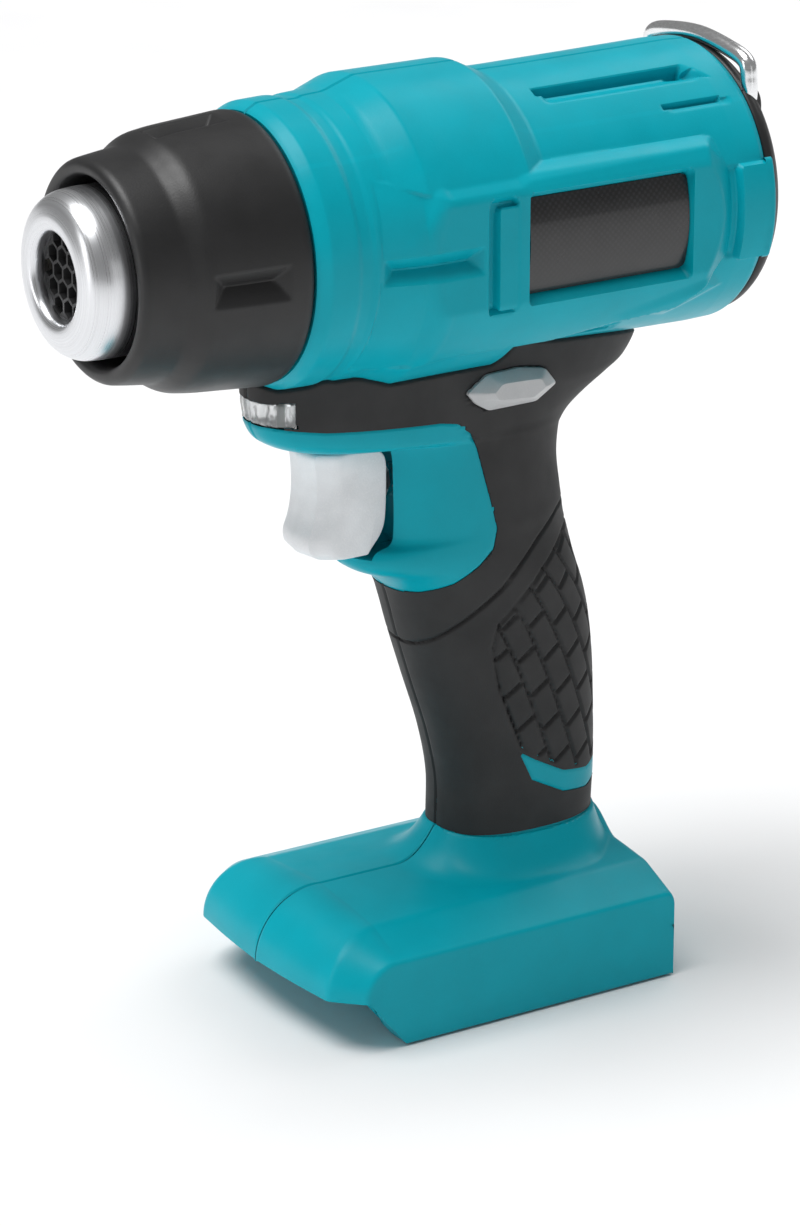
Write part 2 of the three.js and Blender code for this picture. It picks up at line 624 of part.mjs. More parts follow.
function twistCollar() {
  const front = collarFront;
  const bore = spigotRadius + runningGap;
  const grooveRadius = spigotRadius + lugs.reach + runningGap + 0.3;
  const nose = collarNoseRadius;
  const ring = turned([
    [collarMouth, front + 1], [collarMouth + 1.2, front], [nose - 2.2, front + 1.2],
    [nose - 0.6, front + 3.6], [nose, front + 7], [nose + 0.6, front + 11],
    [collarRadius - 2.2, front + 14.5], [collarRadius - 1.2, front + 18],
    [collarRadius - 0.2, collarRear - 8], [collarRadius, collarRear - 1], [collarRadius - 0.6, collarRear],
    [bore, collarRear], [bore, lugs.y1 + runningGap], [grooveRadius, lugs.y1 + runningGap],
    [grooveRadius, lugs.y0 - runningGap], [bore, lugs.y0 - runningGap - 0.6],
    [bore, bodyFront - spigotLength - 2], [nose - collarWall, front + 9], [collarMouth, front + 3.5],
    [collarMouth, front + 1],
  ]);
  const entry = box(
    [spigotRadius - 2, lugs.y0, axisHeight - lugs.width / 2 - 0.8],
    [grooveRadius - 0.1, collarRear + 1, axisHeight + lugs.width / 2 + 0.8],
  );
  const entries = lugs.angles.map((angle) => aroundAxis(entry, angle - collarTwist));
  const grip = notch(front + 16.5, front + 34.5, axisHeight, 4, collarRadius - 0.6, 1.8);
  const grips = [0, 90, 180, 270].map((angle) => aroundAxis(grip, angle));
  return cut(ring, ...entries, ...grips);
}

const nozzleRear = bulkhead.y0 - gap;
const nozzleBore = nozzleRadius - nozzleWall;

function outlet() {
  const tip = nozzleTip;
  const w = nozzleWall;
  const lip = outletRadius;
  const flange = nozzleRadius + 4;
  return turned([
    [lip, tip + 4], [lip, tip + 1.6], [lip + 1.3, tip + 0.3], [lip + 4, tip], [nozzleRadius - 2.6, tip + 1.8],
    [nozzleRadius - 0.6, tip + 5], [nozzleRadius, tip + 9], [nozzleRadius, nozzleRear - w],
    [flange, nozzleRear - w], [flange, nozzleRear],
    [nozzleBore, nozzleRear], [nozzleBore, tip + 9], [nozzleBore - 0.6, tip + 5.4],
    [nozzleBore - 2.8, tip + 2.7], [lip + 4, tip + w], [lip + w + 0.4, tip + w + 0.8], [lip + w, tip + 4],
    [lip, tip + 4],
  ]);
}

const grid = { y0: nozzleTip + 4 + gap, thickness: 4, radius: nozzleBore - 2.2 };

function honeycomb() {
  const rows = [-2, -1, 0, 1, 2];
  const cells = rows.flatMap((row) => {
    const count = rows.length - Math.abs(row);
    return Array.from({ length: count }, (_, i) => {
      const centre = [(i - (count - 1) / 2) * cellPitch, axisHeight + (row * cellPitch * Math.sqrt(3)) / 2];
      return polygon((cellPitch - cellWall) / Math.sqrt(3), 6, centre, Math.PI / 6);
    });
  });
  const outline = polygon(grid.radius, 24, [0, axisHeight]);
  return frontProfile(outline, grid.y0, grid.y0 + grid.thickness, cells);
}

const sleeve = { y0: grid.y0 + grid.thickness + gap, y1: nozzleRear - 3, thickness: 0.7 };
const core = { y0: sleeve.y0 + 3, y1: sleeve.y1 - 9, reach: 13, half: 1.2 };

function heaterCore() {
  const { y0, y1, reach, half } = core;
  return union(
    box([-reach, y0, axisHeight - half], [reach, y1, axisHeight + half]),
    box([-half, y0, axisHeight - reach], [half, y1, axisHeight + reach]),
  );
}

// ---------- blower ----------
const fan = { y0: bodyFront + 43.5, depth: 12, hub: 7, pitch: 35 };
const shaftRadius = 1.6;
const motorFront = fan.y0 + fan.depth + 4;
const motorRear = motorFront + motorLength - 4;

function airDuct() {
  const throat = nozzleBore + gap;
  const shroud = fanRadius + 1.2;
  const start = bulkhead.y0 + bulkhead.thickness + gap;
  const end = mount.y0 - gap;
  const thick = 1.2;
  return turned([
    [throat, start], [throat + thick, start], [shroud + thick, fan.y0 - 5], [shroud + thick, end],
    [shroud, end], [shroud, fan.y0 - 5], [throat, start],
  ]);
}

function impeller() {
  const blade = box([fan.hub - 0.6, -fan.depth / 2 - 1, -0.6], [fanRadius - 0.6, fan.depth / 2 + 1, 0.6])
    .rotate([fan.pitch, 0, 0])
    .translate([0, fan.y0 + fan.depth / 2, axisHeight]);
  const blades = Array.from({ length: bladeCount }, (_, i) => aroundAxis(blade, (360 * i) / bladeCount));
  const hub = drum(fan.hub, fan.y0, fan.y0 + fan.depth, 18);
  return cut(union(hub, ...blades), drum(shaftRadius + gap, fan.y0 - 1, fan.y0 + fan.depth + 1, 12));
}

function motorCan() {
  const front = motorFront;
  const bore = shaftRadius + gap;
  return turned([
    [bore, front - 2.5], [5, front - 2.5], [5, front], [motorRadius, front], [motorRadius, motorRear],
    [0, motorRear], [0, front + 5], [bore, front + 5], [bore, front - 2.5],
  ], 24);
}

function motorEndBell() {
  const y = motorRear + gap;
  const tab = (x) => box([x - 1.5, y + 3, axisHeight - 6], [x + 1.5, y + 7, axisHeight - 5.2]);
  return union(drum(motorRadius - 0.8, y, y + 4.5, 24), tab(-6), tab(6));
}

function motorMount() {
  const ring = tube(ringRadius, motorRadius + gap, mount.y0, mount.y0 + mount.thickness);
  const window = bar(4.4, 20, [(ringRadius + motorRadius) / 2, mount.y0, axisHeight], Y);
  const windows = [30, 150, 210, 330].map((angle) => aroundAxis(window, angle));
  return cut(ring, leadChannel, ...windows);
}

// ---------- rear end ----------
function rearCap() {
  const seat = { radius: ringRadius, wall: 2, y0: bodyRear - 5 };
  const edge = bodyRear + gap;
  const inside = seat.radius - seat.wall;
  const dome = turned([
    [seat.radius, seat.y0], [seat.radius, edge], [capRim, edge], [capRim, bodyRear + 2],
    [capRim - 1.6, bodyRear + 4.4], [capRim - 4.6, bodyRear + 6.4], [capRim - 8.6, capRear - 0.8],
    [capRim - 13, capRear], [0, capRear], [0, capRear - 2], [capRim - 13.6, capRear - 2],
    [capRim - 9.4, capRear - 2.9], [inside, bodyRear + 2.4], [inside, seat.y0], [seat.radius, seat.y0],
  ]);
  const slots = [-15, -10, -5, 0, 5, 10, 15].map((z) => {
    const half = Math.sqrt(20 ** 2 - z ** 2);
    return box([-half, bodyRear, axisHeight + z - 1.2], [half, capRear + 1, axisHeight + z + 1.2]);
  });
  const { y, z } = hookPivot;
  const room = hookWireRadius + runningGap;
  const block = box([shoulder - 8, edge, z - room - 2.4], [shoulder, y + room + 2, z + room + 2.4]);
  const lobe = block.intersect(drum(capRim - 1.2, edge, y + room + 2));
  const pivotHole = bar(room, 16, [shoulder, y, z], X, 12);
  const legRoom = box([shoulder, edge - 0.1, z - room], [hookSpan + 20, capRear + 1, z + 30]);
  const shaped = union(cut(dome, ...slots), lobe, mirrored(lobe));
  return cut(shaped, pivotHole, mirrored(pivotHole), legRoom, mirrored(legRoom));
}

function hangingHook() {
  const { y, z } = hookPivot;
  const top = z + hookRise;
  const half = [
    [shoulder - 4, z], [hookSpan - 1.2, z + 0.2], [hookSpan, z + 2.2], [hookSpan - 0.1, z + hookRise * 0.5],
    [hookSpan * 0.93, z + hookRise * 0.78], [hookSpan * 0.6, top - 1.2],
  ];
  const loop = [...half, [0, top], ...half.map(([x, h]) => [-x, h]).reverse()];
  return rod(loop.map(([x, h]) => [x, y, h]), hookWireRadius, 28, 6);
}

function dustScreen() {
  const bars = [-18, -12, -6, 0, 6, 12, 18].map((x) => {
    const half = Math.sqrt(24 ** 2 - x ** 2);
    return [[x - 1.6, axisHeight - half], [x + 1.6, axisHeight - half], [x + 1.6, axisHeight + half],
      [x - 1.6, axisHeight + half]];
  });
  return frontProfile(polygon(ringRadius - 2, 24, [0, axisHeight]), bodyRear - 8, bodyRear - 6.8, bars);
}

// ---------- trigger, switch and lamp ----------
function trigger() {
  const side = sideProfile(
    [[-28.5, triggerTop], [-27.4, belowBarrel(22)], [-27.3, belowBarrel(27)], [-28.2, belowBarrel(34)],
      [-30.2, belowBarrel(38.4)], [-29.6, belowBarrel(41.5)], [-26.3, triggerBottom],
      [triggerBack, triggerBottom], [triggerBack, triggerTop]],
    -triggerHalf, triggerHalf,
  );
  const plan = planProfile(
    [[-triggerHalf, triggerBack], [-triggerHalf, -23], [-6, -27.5], [0, -31], [6, -27.5], [triggerHalf, -23],
      [triggerHalf, triggerBack]],
    triggerBottom, triggerTop,
  );
  return side.intersect(plan);
}

const plunger = (reach, y0, y1) => bar(reach, y1 - y0, [0, (y0 + y1) / 2, plungerHeight], Y, 10);

function triggerSwitch() {
  const [low, high] = [triggerBottom - 1.5, triggerTop - 3.6];
  const body = box([-switchHalf, switchFront, low], [switchHalf, switchRear, high]);
  return cut(body, plunger(plungerRadius + runningGap, switchFront - 1, plungerTip + triggerTravel + 1.5));
}

/** The button stands out at the user's left, ready to be pushed through. */
const lockButton = () => sideProfile(lockOutline, -lockHalf + lockSunk, lockHalf + lockSunk + lockTravel);

const lampBoard = () =>
  box([-5, lampZone.y + 4.6, lampZone.z0 - 1.4], [5, lampZone.y + 6, lampZone.z0 + 7]);

function lampLens() {
  const block = box([-beyond, -beyond, lampZone.z0], [beyond, lampZone.y, lampZone.z1]);
  const barrelKeepOff = turned(bodyProfile.map(([r, y]) => [r ? r + gap : 0, y - gap]));
  const collarKeepOff = drum(collarRadius + runningGap, -beyond, bodyFront + 0.2);
  return cut(gripOuter.intersect(block), barrelKeepOff, collarKeepOff);
}

// ---------- battery contacts, control board and wiring ----------
/** An L-shaped blade: it stands forward in the battery slot and up through the block. */
function bladeShape(x, room = 0) {
  const half = bladeHalf + room;
  const { y0 } = terminal;
  const low = terminal.low + 0.6 - room;
  const rear = y0 + 12 + room;
  return union(
    box([x - half, y0 - 12, low], [x + half, rear, slotTop - 0.6 + room]),
    box([x - half, y0 + 8 - room, low], [x + half, rear, footFloor + 6 + room]),
  );
}

function terminalBlock() {
  const { half, y0, y1, low, flange } = terminal;
  const body = box([-half + gap, y0 + gap, low], [half - gap, y1 - gap, footFloor + gap + flange]);
  const rim = box([-half - 3, y0 - 2, footFloor + gap], [half + 3, y1 + 2, footFloor + gap + flange]);
  return cut(union(body, rim), ...Object.values(blades).map((x) => bladeShape(x, gap)));
}

const board = { z: footFloor + 1.5, thickness: 1.6, half: 20, y0: footFront + 9, y1: terminal.y0 - 6 };

const capacitor = () => bar(5, 18, [0, 22, fromFoot(32.5)], Z, 12);

const controlBoard = () =>
  box([-board.half, board.y0, board.z], [board.half, board.y1, board.z + board.thickness]);

function heatSink() {
  const low = board.z + board.thickness + gap;
  const base = box([-15, board.y0 + 3, low], [-1, board.y0 + 19, low + 1]);
  const fin = (x) => box([x, board.y0 + 3, low], [x + 1, board.y0 + 19, low + 3.2]);
  const fins = [-15, -11.7, -8.4, -5.1, -2].map(fin);
  return union(base, ...fins);
}

const switchTabs = switchRear + 2 * gap; // where the leads meet the switch
const channelFloor = axisHeight - cavityRadius; // bottom of the barrel's inside
const leads = {
  battery_lead_positive: [[-8, 28, footFloor + 6.8], [-7.6, 32, footFloor + 14], [-6, 40, fromFoot(32.5)],
    [-6, 39, belowBarrel(66)], [-5, 36, belowBarrel(52)], [-5, 32.4, belowBarrel(41)],
    [-5, switchTabs, belowBarrel(39)]],
  battery_lead_negative: [[8, 28, footFloor + 6.8], [7.6, 32, footFloor + 14], [6, 40, fromFoot(32.5)],
    [6, 39, belowBarrel(66)], [5, 36, belowBarrel(54)], [5, 32.4, belowBarrel(44)],
    [5, switchTabs, belowBarrel(42)]],
  motor_lead: [[-4, switchTabs, belowBarrel(27)], [-4, 32, belowBarrel(24)], [-4, 35, belowBarrel(15)],
    [-4, 40, belowBarrel(6)], [-4, 47, belowBarrel(-6)], [-5, 59, axisHeight - 16],
    [-6, motorRear + 8.3, axisHeight - 9]],
  heater_lead: [[5, switchTabs, belowBarrel(30)], [5, 31, belowBarrel(28.8)], [5, 32.8, belowBarrel(23)],
    [5, 34, belowBarrel(15)], [5.4, 38.2, belowBarrel(7)], [6, 36, belowBarrel(-1)],
    [6, 26, channelFloor + 1.3], [6, 0, channelFloor + 1.3], [6, -10, channelFloor + 3],
    [6, bulkhead.y0 + bulkhead.thickness + gap + 0.4, axisHeight - 22]],
};

// ---------- assembly ----------
const tall = 2 * axisHeight; // taller and longer than the whole tool
const rightHalf = box([-tall, -tall, -tall], [-partingGap / 2, tall, tall]);
const leftHalf = box([partingGap / 2, -tall, -tall], [tall, tall, tall]);

/** A moulded, sheet or turned finish: colour, roughness and how metallic it is. */
const finish = (color, roughness, metalness = 0) => ({ color, roughness, metalness });
const finishes = {
  shell: finish("#009bb0", 0.45),
  softSkin: finish("#2b2b2b", 0.8),
  darkPlastic: finish("#3a3a3b", 0.65),
  greyPlastic: finish("#8b8c8e", 0.5),
  triggerPlastic: finish("#d5d9dd", 0.55),
  steel: finish("#d9dadc", 0.3, 1),
  darkMetal: finish("#35363a", 0.5, 0.8),
  aluminium: finish("#b9bcc0", 0.4, 1),
  mica: finish("#b39f76", 0.7),
  ceramic: finish("#d8d2c4", 0.8),
  lens: finish("#dfe5ea", 0.1),
  board: finish("#1d6b35", 0.5),
  brass: finish("#c9a24b", 0.35, 1),
  red: finish("#b3201b", 0.5),
  black: finish("#161616", 0.5),
};

const tool = new THREE.Group();
tool.position.y = -(nozzleTip + capRear) / 2; // the origin is under the middle of the tool
const crumb = 2; // mm3: shavings that a cut leaves behind are dropped below this

/** Adds a solid to the tool as a named piece. */
function add(name, shape, finishName) {
  const bodies = shape.decompose().filter((body) => body.volume() > crumb);
  const { vertProperties, triVerts } = union(...bodies).getMesh();
  const geometry = new THREE.BufferGeometry();
  geometry.setAttribute("position", new THREE.BufferAttribute(vertProperties, 3));
  geometry.setIndex(new THREE.BufferAttribute(triVerts, 1));
  geometry.computeVertexNormals();
  const mesh = new THREE.Mesh(geometry, new THREE.MeshStandardMaterial(finishes[finishName]));
  mesh.name = name;
  tool.add(mesh);
}

function addShells() {
  const shell = housing();
  const skinPiece = softSkin();
  add("housing_left", shell.intersect(leftHalf), "shell");
  add("housing_right", shell.intersect(rightHalf), "shell");
  add("grip_skin_left", skinPiece.intersect(leftHalf), "softSkin");
  add("grip_skin_right", skinPiece.intersect(rightHalf), "softSkin");
  add("nameplate_left", nameplate(), "black");
  add("nameplate_right", mirrored(nameplate()), "black");
  screwPlaces.forEach((place, i) => add(`housing_screw_${i + 1}`, screw(place), "darkMetal"));
}

function addFront() {
  add("twist_collar", twistCollar(), "darkPlastic");
  add("steel_outlet", outlet(), "steel");
  add("outlet_honeycomb", honeycomb(), "darkMetal");
  const sleeveRadius = nozzleBore - gap;
  add("mica_sleeve", tube(sleeveRadius, sleeveRadius - sleeve.thickness, sleeve.y0, sleeve.y1, 24), "mica");
  add("heater_core", heaterCore(), "ceramic");
  add("heater_coil", coil(14.6, 0.8, core.y0 + 1, core.y1 - 1, axisHeight, 4, 12, 4), "darkMetal");
  add("thermal_cutout", bar(2.4, 11, [0, core.y1 + 5, axisHeight], X), "greyPlastic");
  const ring = tube(ringRadius, nozzleBore - 0.4, bulkhead.y0, bulkhead.y0 + bulkhead.thickness);
  add("heater_bulkhead", cut(ring, leadChannel), "mica");
}

function addBlower() {
  add("air_duct", airDuct(), "darkPlastic");
  add("fan_impeller", impeller(), "greyPlastic");
  add("motor_shaft", drum(shaftRadius, fan.y0 + 0.5, motorFront + 4.5, 12), "steel");
  add("motor_can", motorCan(), "steel");
  add("motor_end_bell", motorEndBell(), "black");
  add("motor_mount", motorMount(), "darkPlastic");
}

function addRear() {
  add("dust_screen", dustScreen(), "darkMetal");
  add("rear_cap", rearCap(), "darkPlastic");
  add("hanging_hook", hangingHook(), "steel");
}

function addControls() {
  const springEnd = switchFront - gap;
  const springStart = triggerBack + gap;
  add("trigger", trigger(), "triggerPlastic");
  add("switch_plunger", plunger(plungerRadius, springStart, plungerTip), "greyPlastic");
  add("trigger_spring", coil(4, 0.5, springStart, springEnd, plungerHeight, 4, 8, 4), "steel");
  add("trigger_switch", triggerSwitch(), "black");
  add("lock_button", lockButton(), "greyPlastic");
  add("lamp_lens", lampLens(), "lens");
  add("lamp_board", lampBoard(), "board");
}

function addElectrics() {
  add("terminal_block", terminalBlock(), "black");
  Object.entries(blades).forEach(([pole, x]) => add(`terminal_${pole}`, bladeShape(x), "brass"));
  add("control_board", controlBoard(), "board");
  add("heat_sink", heatSink(), "aluminium");
  add("capacitor", capacitor(), "black");
  Object.entries(leads).forEach(([name, route]) =>
    add(name, rod(route, wireRadius, 3 * route.length, 5), name.includes("negative") ? "black" : "red"),
  );
}

addShells();
addFront();
addBlower();
addRear();
addControls();
addElectrics();

export default tool;
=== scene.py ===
"""Looks for the cordless heat gun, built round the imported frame. Lengths below are millimetres."""

import json
import math

import bpy
import numpy as np
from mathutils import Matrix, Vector


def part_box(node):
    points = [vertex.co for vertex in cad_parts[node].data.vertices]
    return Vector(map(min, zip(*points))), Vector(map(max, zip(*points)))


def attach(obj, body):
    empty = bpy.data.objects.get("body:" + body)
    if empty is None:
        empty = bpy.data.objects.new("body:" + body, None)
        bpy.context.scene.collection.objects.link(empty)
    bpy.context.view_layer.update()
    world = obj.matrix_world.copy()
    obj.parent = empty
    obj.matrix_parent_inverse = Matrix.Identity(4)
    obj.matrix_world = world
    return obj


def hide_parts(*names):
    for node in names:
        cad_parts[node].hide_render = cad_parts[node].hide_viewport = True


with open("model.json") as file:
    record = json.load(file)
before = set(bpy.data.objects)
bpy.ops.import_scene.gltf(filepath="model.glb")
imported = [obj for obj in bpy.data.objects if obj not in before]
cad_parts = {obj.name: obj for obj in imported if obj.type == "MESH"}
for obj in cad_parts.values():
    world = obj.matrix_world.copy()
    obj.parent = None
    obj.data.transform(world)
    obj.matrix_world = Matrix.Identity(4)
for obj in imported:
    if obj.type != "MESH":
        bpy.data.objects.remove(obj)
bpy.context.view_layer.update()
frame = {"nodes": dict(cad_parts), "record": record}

MM = 0.001
SIDES = {"left": 1, "right": -1}  # the user's left is +X

# ---------- places read from the frame ----------
def box_mm(node):
    return [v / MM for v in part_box(node)]


collar_low, collar_high = box_mm("twist_collar")
lock_low, lock_high = box_mm("lock_button")
hook_low, hook_high = box_mm("hanging_hook")
plate_low, plate_high = box_mm("nameplate_left")

AXIS = (collar_low.z + collar_high.z) / 2  # height of the barrel axis
SHIFT = collar_high.y + 42  # the sizes below count y from a point this far from the frame's origin
BODY_FRONT = -41.5
BODY_REAR = 82
HALF_FOOT = box_mm("housing_left")[1].x
SKIN_FOOT = box_mm("grip_skin_left")[0].z - 0.3  # lower end of the soft skin
FOOT_TOP = SKIN_FOOT - 7.5
SADDLE = AXIS - 34  # underside of the barrel
NOMINAL = 34  # barrel radius that turns an angle into a distance round it
PARTING = 0.15  # half the gap between the two halves


# ---------- small maths ----------
def smoothstep(x):
    t = np.clip(x, 0, 1)
    return t * t * (3 - 2 * t)


def soft_max(a, b, radius):
    """The larger of two heights with the crease between them rounded."""
    h = np.clip(0.5 + 0.5 * (a - b) / radius, 0, 1)
    return b + (a - b) * h + radius * h * (1 - h) / 2


def soft_min(a, b, radius):
    return -soft_max(-a, -b, radius)


def lerp(a, b, t):
    return a + (b - a) * t


def line_distance(points, u, v):
    """Distance to an open line of straight stretches."""
    best = np.full(np.shape(u), 1e9)
    for (u0, v0), (u1, v1) in zip(points, points[1:]):
        du, dv = u1 - u0, v1 - v0
        t = np.clip(((u - u0) * du + (v - v0) * dv) / (du * du + dv * dv), 0, 1)
        best = np.minimum(best, np.hypot(u - u0 - t * du, v - v0 - t * dv))
    return best


def polygon_distance(points, u, v):
    """Distance to a polygon's edge, negative inside."""
    inside = np.zeros(np.shape(u), bool)
    for (u0, v0), (u1, v1) in zip(points, points[1:] + points[:1]):
        if v0 != v1:
            inside ^= ((v0 > v) != (v1 > v)) & (u < u0 + (v - v0) * (u1 - u0) / (v1 - v0))
    best = line_distance(points + points[:1], u, v)
    return np.where(inside, -best, best)


def rounded_box_distance(low, high, radius, u, v):
    """Distance to a rectangle with rounded corners, negative inside."""
    du = np.abs(u - (low[0] + high[0]) / 2) - (high[0] - low[0]) / 2 + radius
    dv = np.abs(v - (low[1] + high[1]) / 2) - (high[1] - low[1]) / 2 + radius
    outer = np.hypot(np.maximum(du, 0), np.maximum(dv, 0))
    return outer + np.minimum(np.maximum(du, dv), 0) - radius


def spaced(stops):
    """Grid lines through (place, spacing) stops: each stretch is cut at its own spacing."""
    lines = [np.array([float(stops[0][0])])]
    for (start, step), (end, _) in zip(stops, stops[1:]):
        count = max(1, round(abs(end - start) / step))
        lines.append(np.linspace(start, end, count + 1)[1:])
    return np.concatenate(lines)


def fillet(points, radius, steps=5, closed=False):
    """The same line with each corner rounded; radius is one number or one for each point."""
    points = [np.array(p, float) for p in points]
    count = len(points)
    radii = radius if isinstance(radius, (list, tuple)) else [radius] * count
    out = []
    for i, p in enumerate(points):
        if not closed and i in (0, count - 1):
            out.append(p)
            continue
        before, after = points[i - 1] - p, points[(i + 1) % count] - p
        reach = min(radii[i], 0.48 * np.linalg.norm(before), 0.48 * np.linalg.norm(after))
        a = p + before / np.linalg.norm(before) * reach
        b = p + after / np.linalg.norm(after) * reach
        for t in np.linspace(0, 1, steps):
            out.append((1 - t) ** 2 * a + 2 * t * (1 - t) * p + t * t * b)
    return np.array(out)


def line_length(line):
    """Distance along a line up to each of its points."""
    return np.concatenate([[0], np.cumsum(np.linalg.norm(np.diff(line, axis=0), axis=1))])


def resampled(line, count):
    """The same line through a set number of evenly spaced points."""
    length = line_length(line)
    place = np.linspace(0, length[-1], count)
    return np.column_stack([np.interp(place, length, line[:, k]) for k in range(line.shape[1])])


def smooth_line(points, per_step):
    """A Catmull-Rom line through the points."""
    p = np.array(points, float)
    p = np.vstack([2 * p[0] - p[1], p, 2 * p[-1] - p[-2]])
    out = []
    for i in range(1, len(p) - 2):
        t = np.linspace(0, 1, per_step, endpoint=False)[:, None]
        a, b, c, d = p[i - 1:i + 3]
        out.append(0.5 * (2 * b + (c - a) * t + (2 * a - 5 * b + 4 * c - d) * t ** 2
                          + (3 * b - a - 3 * c + d) * t ** 3))
    return np.vstack(out + [p[-2][None]])


# ---------- mesh helpers ----------
def placed(name, data, towards=None):
    """A new object in the scene, turned so that its -Z looks along towards."""
    obj = bpy.data.objects.new(name, data)
    bpy.context.scene.collection.objects.link(obj)
    if towards is not None:
        obj.rotation_mode = "QUATERNION"
        obj.rotation_quaternion = Vector(towards).to_track_quat("-Z", "Y")
    return obj


def add_mesh(name, points, faces, material, body, node, sharp=32):
    """A smooth-shaded piece from points in millimetres, facing away from its own middle."""
    points = np.asarray(points, float).reshape(-1, 3) + (0, SHIFT, 0)
    mesh = bpy.data.meshes.new(name)
    mesh.from_pydata((points * MM).tolist(), [], faces)
    mesh.validate()
    mesh.update()
    if outward_share(mesh) < 0:
        mesh.flip_normals()
    mesh.polygons.foreach_set("use_smooth", [True] * len(mesh.polygons))
    if sharp:
        mesh.set_sharp_from_angle(angle=math.radians(sharp))
    mesh.materials.append(material)
    obj = placed(name, mesh)
    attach(obj, body)
    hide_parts(node)
    return obj


def outward_share(mesh):
    """Above zero when the faces look away from the mesh's middle."""
    count = len(mesh.polygons)
    normals, centres, areas = np.zeros(3 * count), np.zeros(3 * count), np.zeros(count)
    mesh.polygons.foreach_get("normal", normals)
    mesh.polygons.foreach_get("center", centres)
    mesh.polygons.foreach_get("area", areas)
    normals, centres = normals.reshape(-1, 3), centres.reshape(-1, 3)
    middle = np.average(centres, axis=0, weights=areas)
    return float((np.einsum("ij,ij->i", normals, centres - middle) * areas).sum())


def grid_faces(rows, cols, wrap=False, keep=None, start=0):
    """Quads over a grid of points numbered row by row; wrap joins the last column to the first."""
    i, j = np.meshgrid(np.arange(rows - 1), np.arange(cols if wrap else cols - 1), indexing="ij")
    after = (j + 1) % cols
    quads = np.stack([i * cols + j, (i + 1) * cols + j, (i + 1) * cols + after, i * cols + after], -1)
    if keep is not None:
        shown = keep[:-1, :-1] | keep[1:, :-1] | keep[1:, 1:] | keep[:-1, 1:]
        quads = quads[shown]
    return (quads.reshape(-1, 4) + start).tolist()


def surface(points, wrap=False):
    """A grid of points as a (points, faces) pair."""
    return points.reshape(-1, 3), grid_faces(*points.shape[:2], wrap=wrap)


def used_only(points, faces):
    """Drops the points that no face uses."""
    used = np.unique(np.array(faces).ravel())
    index = np.zeros(len(points), int)
    index[used] = np.arange(len(used))
    return points[used], index[np.array(faces)].tolist()


def joined(*parts):
    """Several (points, faces) pairs as one."""
    points, faces, start = [], [], 0
    for part_points, part_faces in parts:
        part_points = np.asarray(part_points, float).reshape(-1, 3)
        points.append(part_points)
        faces += [[i + start for i in face] for face in part_faces]
        start += len(part_points)
    return np.vstack(points), faces


def loft(rings):
    """A skin through closed rings with the same count, with a face over each end."""
    rings = np.array(rings, float)
    rows, cols = rings.shape[:2]
    faces = grid_faces(rows, cols, wrap=True)
    faces.append(list(range(cols)))
    faces.append([(rows - 1) * cols + j for j in reversed(range(cols))])
    return rings.reshape(-1, 3), faces


def lathe(profile, segments):
    """A closed or open [radius, y] profile turned round the barrel axis."""
    profile = np.array(profile, float)
    angle = np.linspace(0, 2 * math.pi, segments, endpoint=False)
    r, y = profile[:, :1], profile[:, 1:]
    points = np.stack([r * np.cos(angle), y + 0 * angle, AXIS + r * np.sin(angle)], -1)
    return surface(points, wrap=True)


def sweep(path, radius, sides=24):
    """A round rod along a smooth path, closed at both ends."""
    path = np.array(path, float)
    tangent = np.gradient(path, axis=0)
    tangent /= np.linalg.norm(tangent, axis=1)[:, None]
    side = np.cross(tangent, (0, 1, 0))
    side /= np.linalg.norm(side, axis=1)[:, None]
    other = np.cross(tangent, side)
    angle = np.linspace(0, 2 * math.pi, sides, endpoint=False)
    rings = path[:, None] + radius * (side[:, None] * np.cos(angle)[:, None]
                                      + other[:, None] * np.sin(angle)[:, None])
    return loft(rings)


def plate(outline, low, high, bevel, to_world):
    """An outline pushed from low to high with rounded edges; to_world maps (u, v, w) to x, y, z."""
    outline = np.array(outline, float)
    middle = outline.mean(0)
    size = np.abs(outline - middle).max(0)
    turns = np.linspace(0, math.pi / 2, 4)
    levels = [(t, low + bevel - bevel * math.cos(t)) for t in turns]
    levels += [(t, high - bevel + bevel * math.cos(t)) for t in turns[::-1]]
    rings = []
    for t, w in levels:
        inset = bevel * (1 - math.sin(t))
        ring = middle + (outline - middle) * (1 - inset / size)
        rings.append(np.column_stack([ring, np.full(len(ring), w)]))
    return loft(to_world(np.array(rings)))


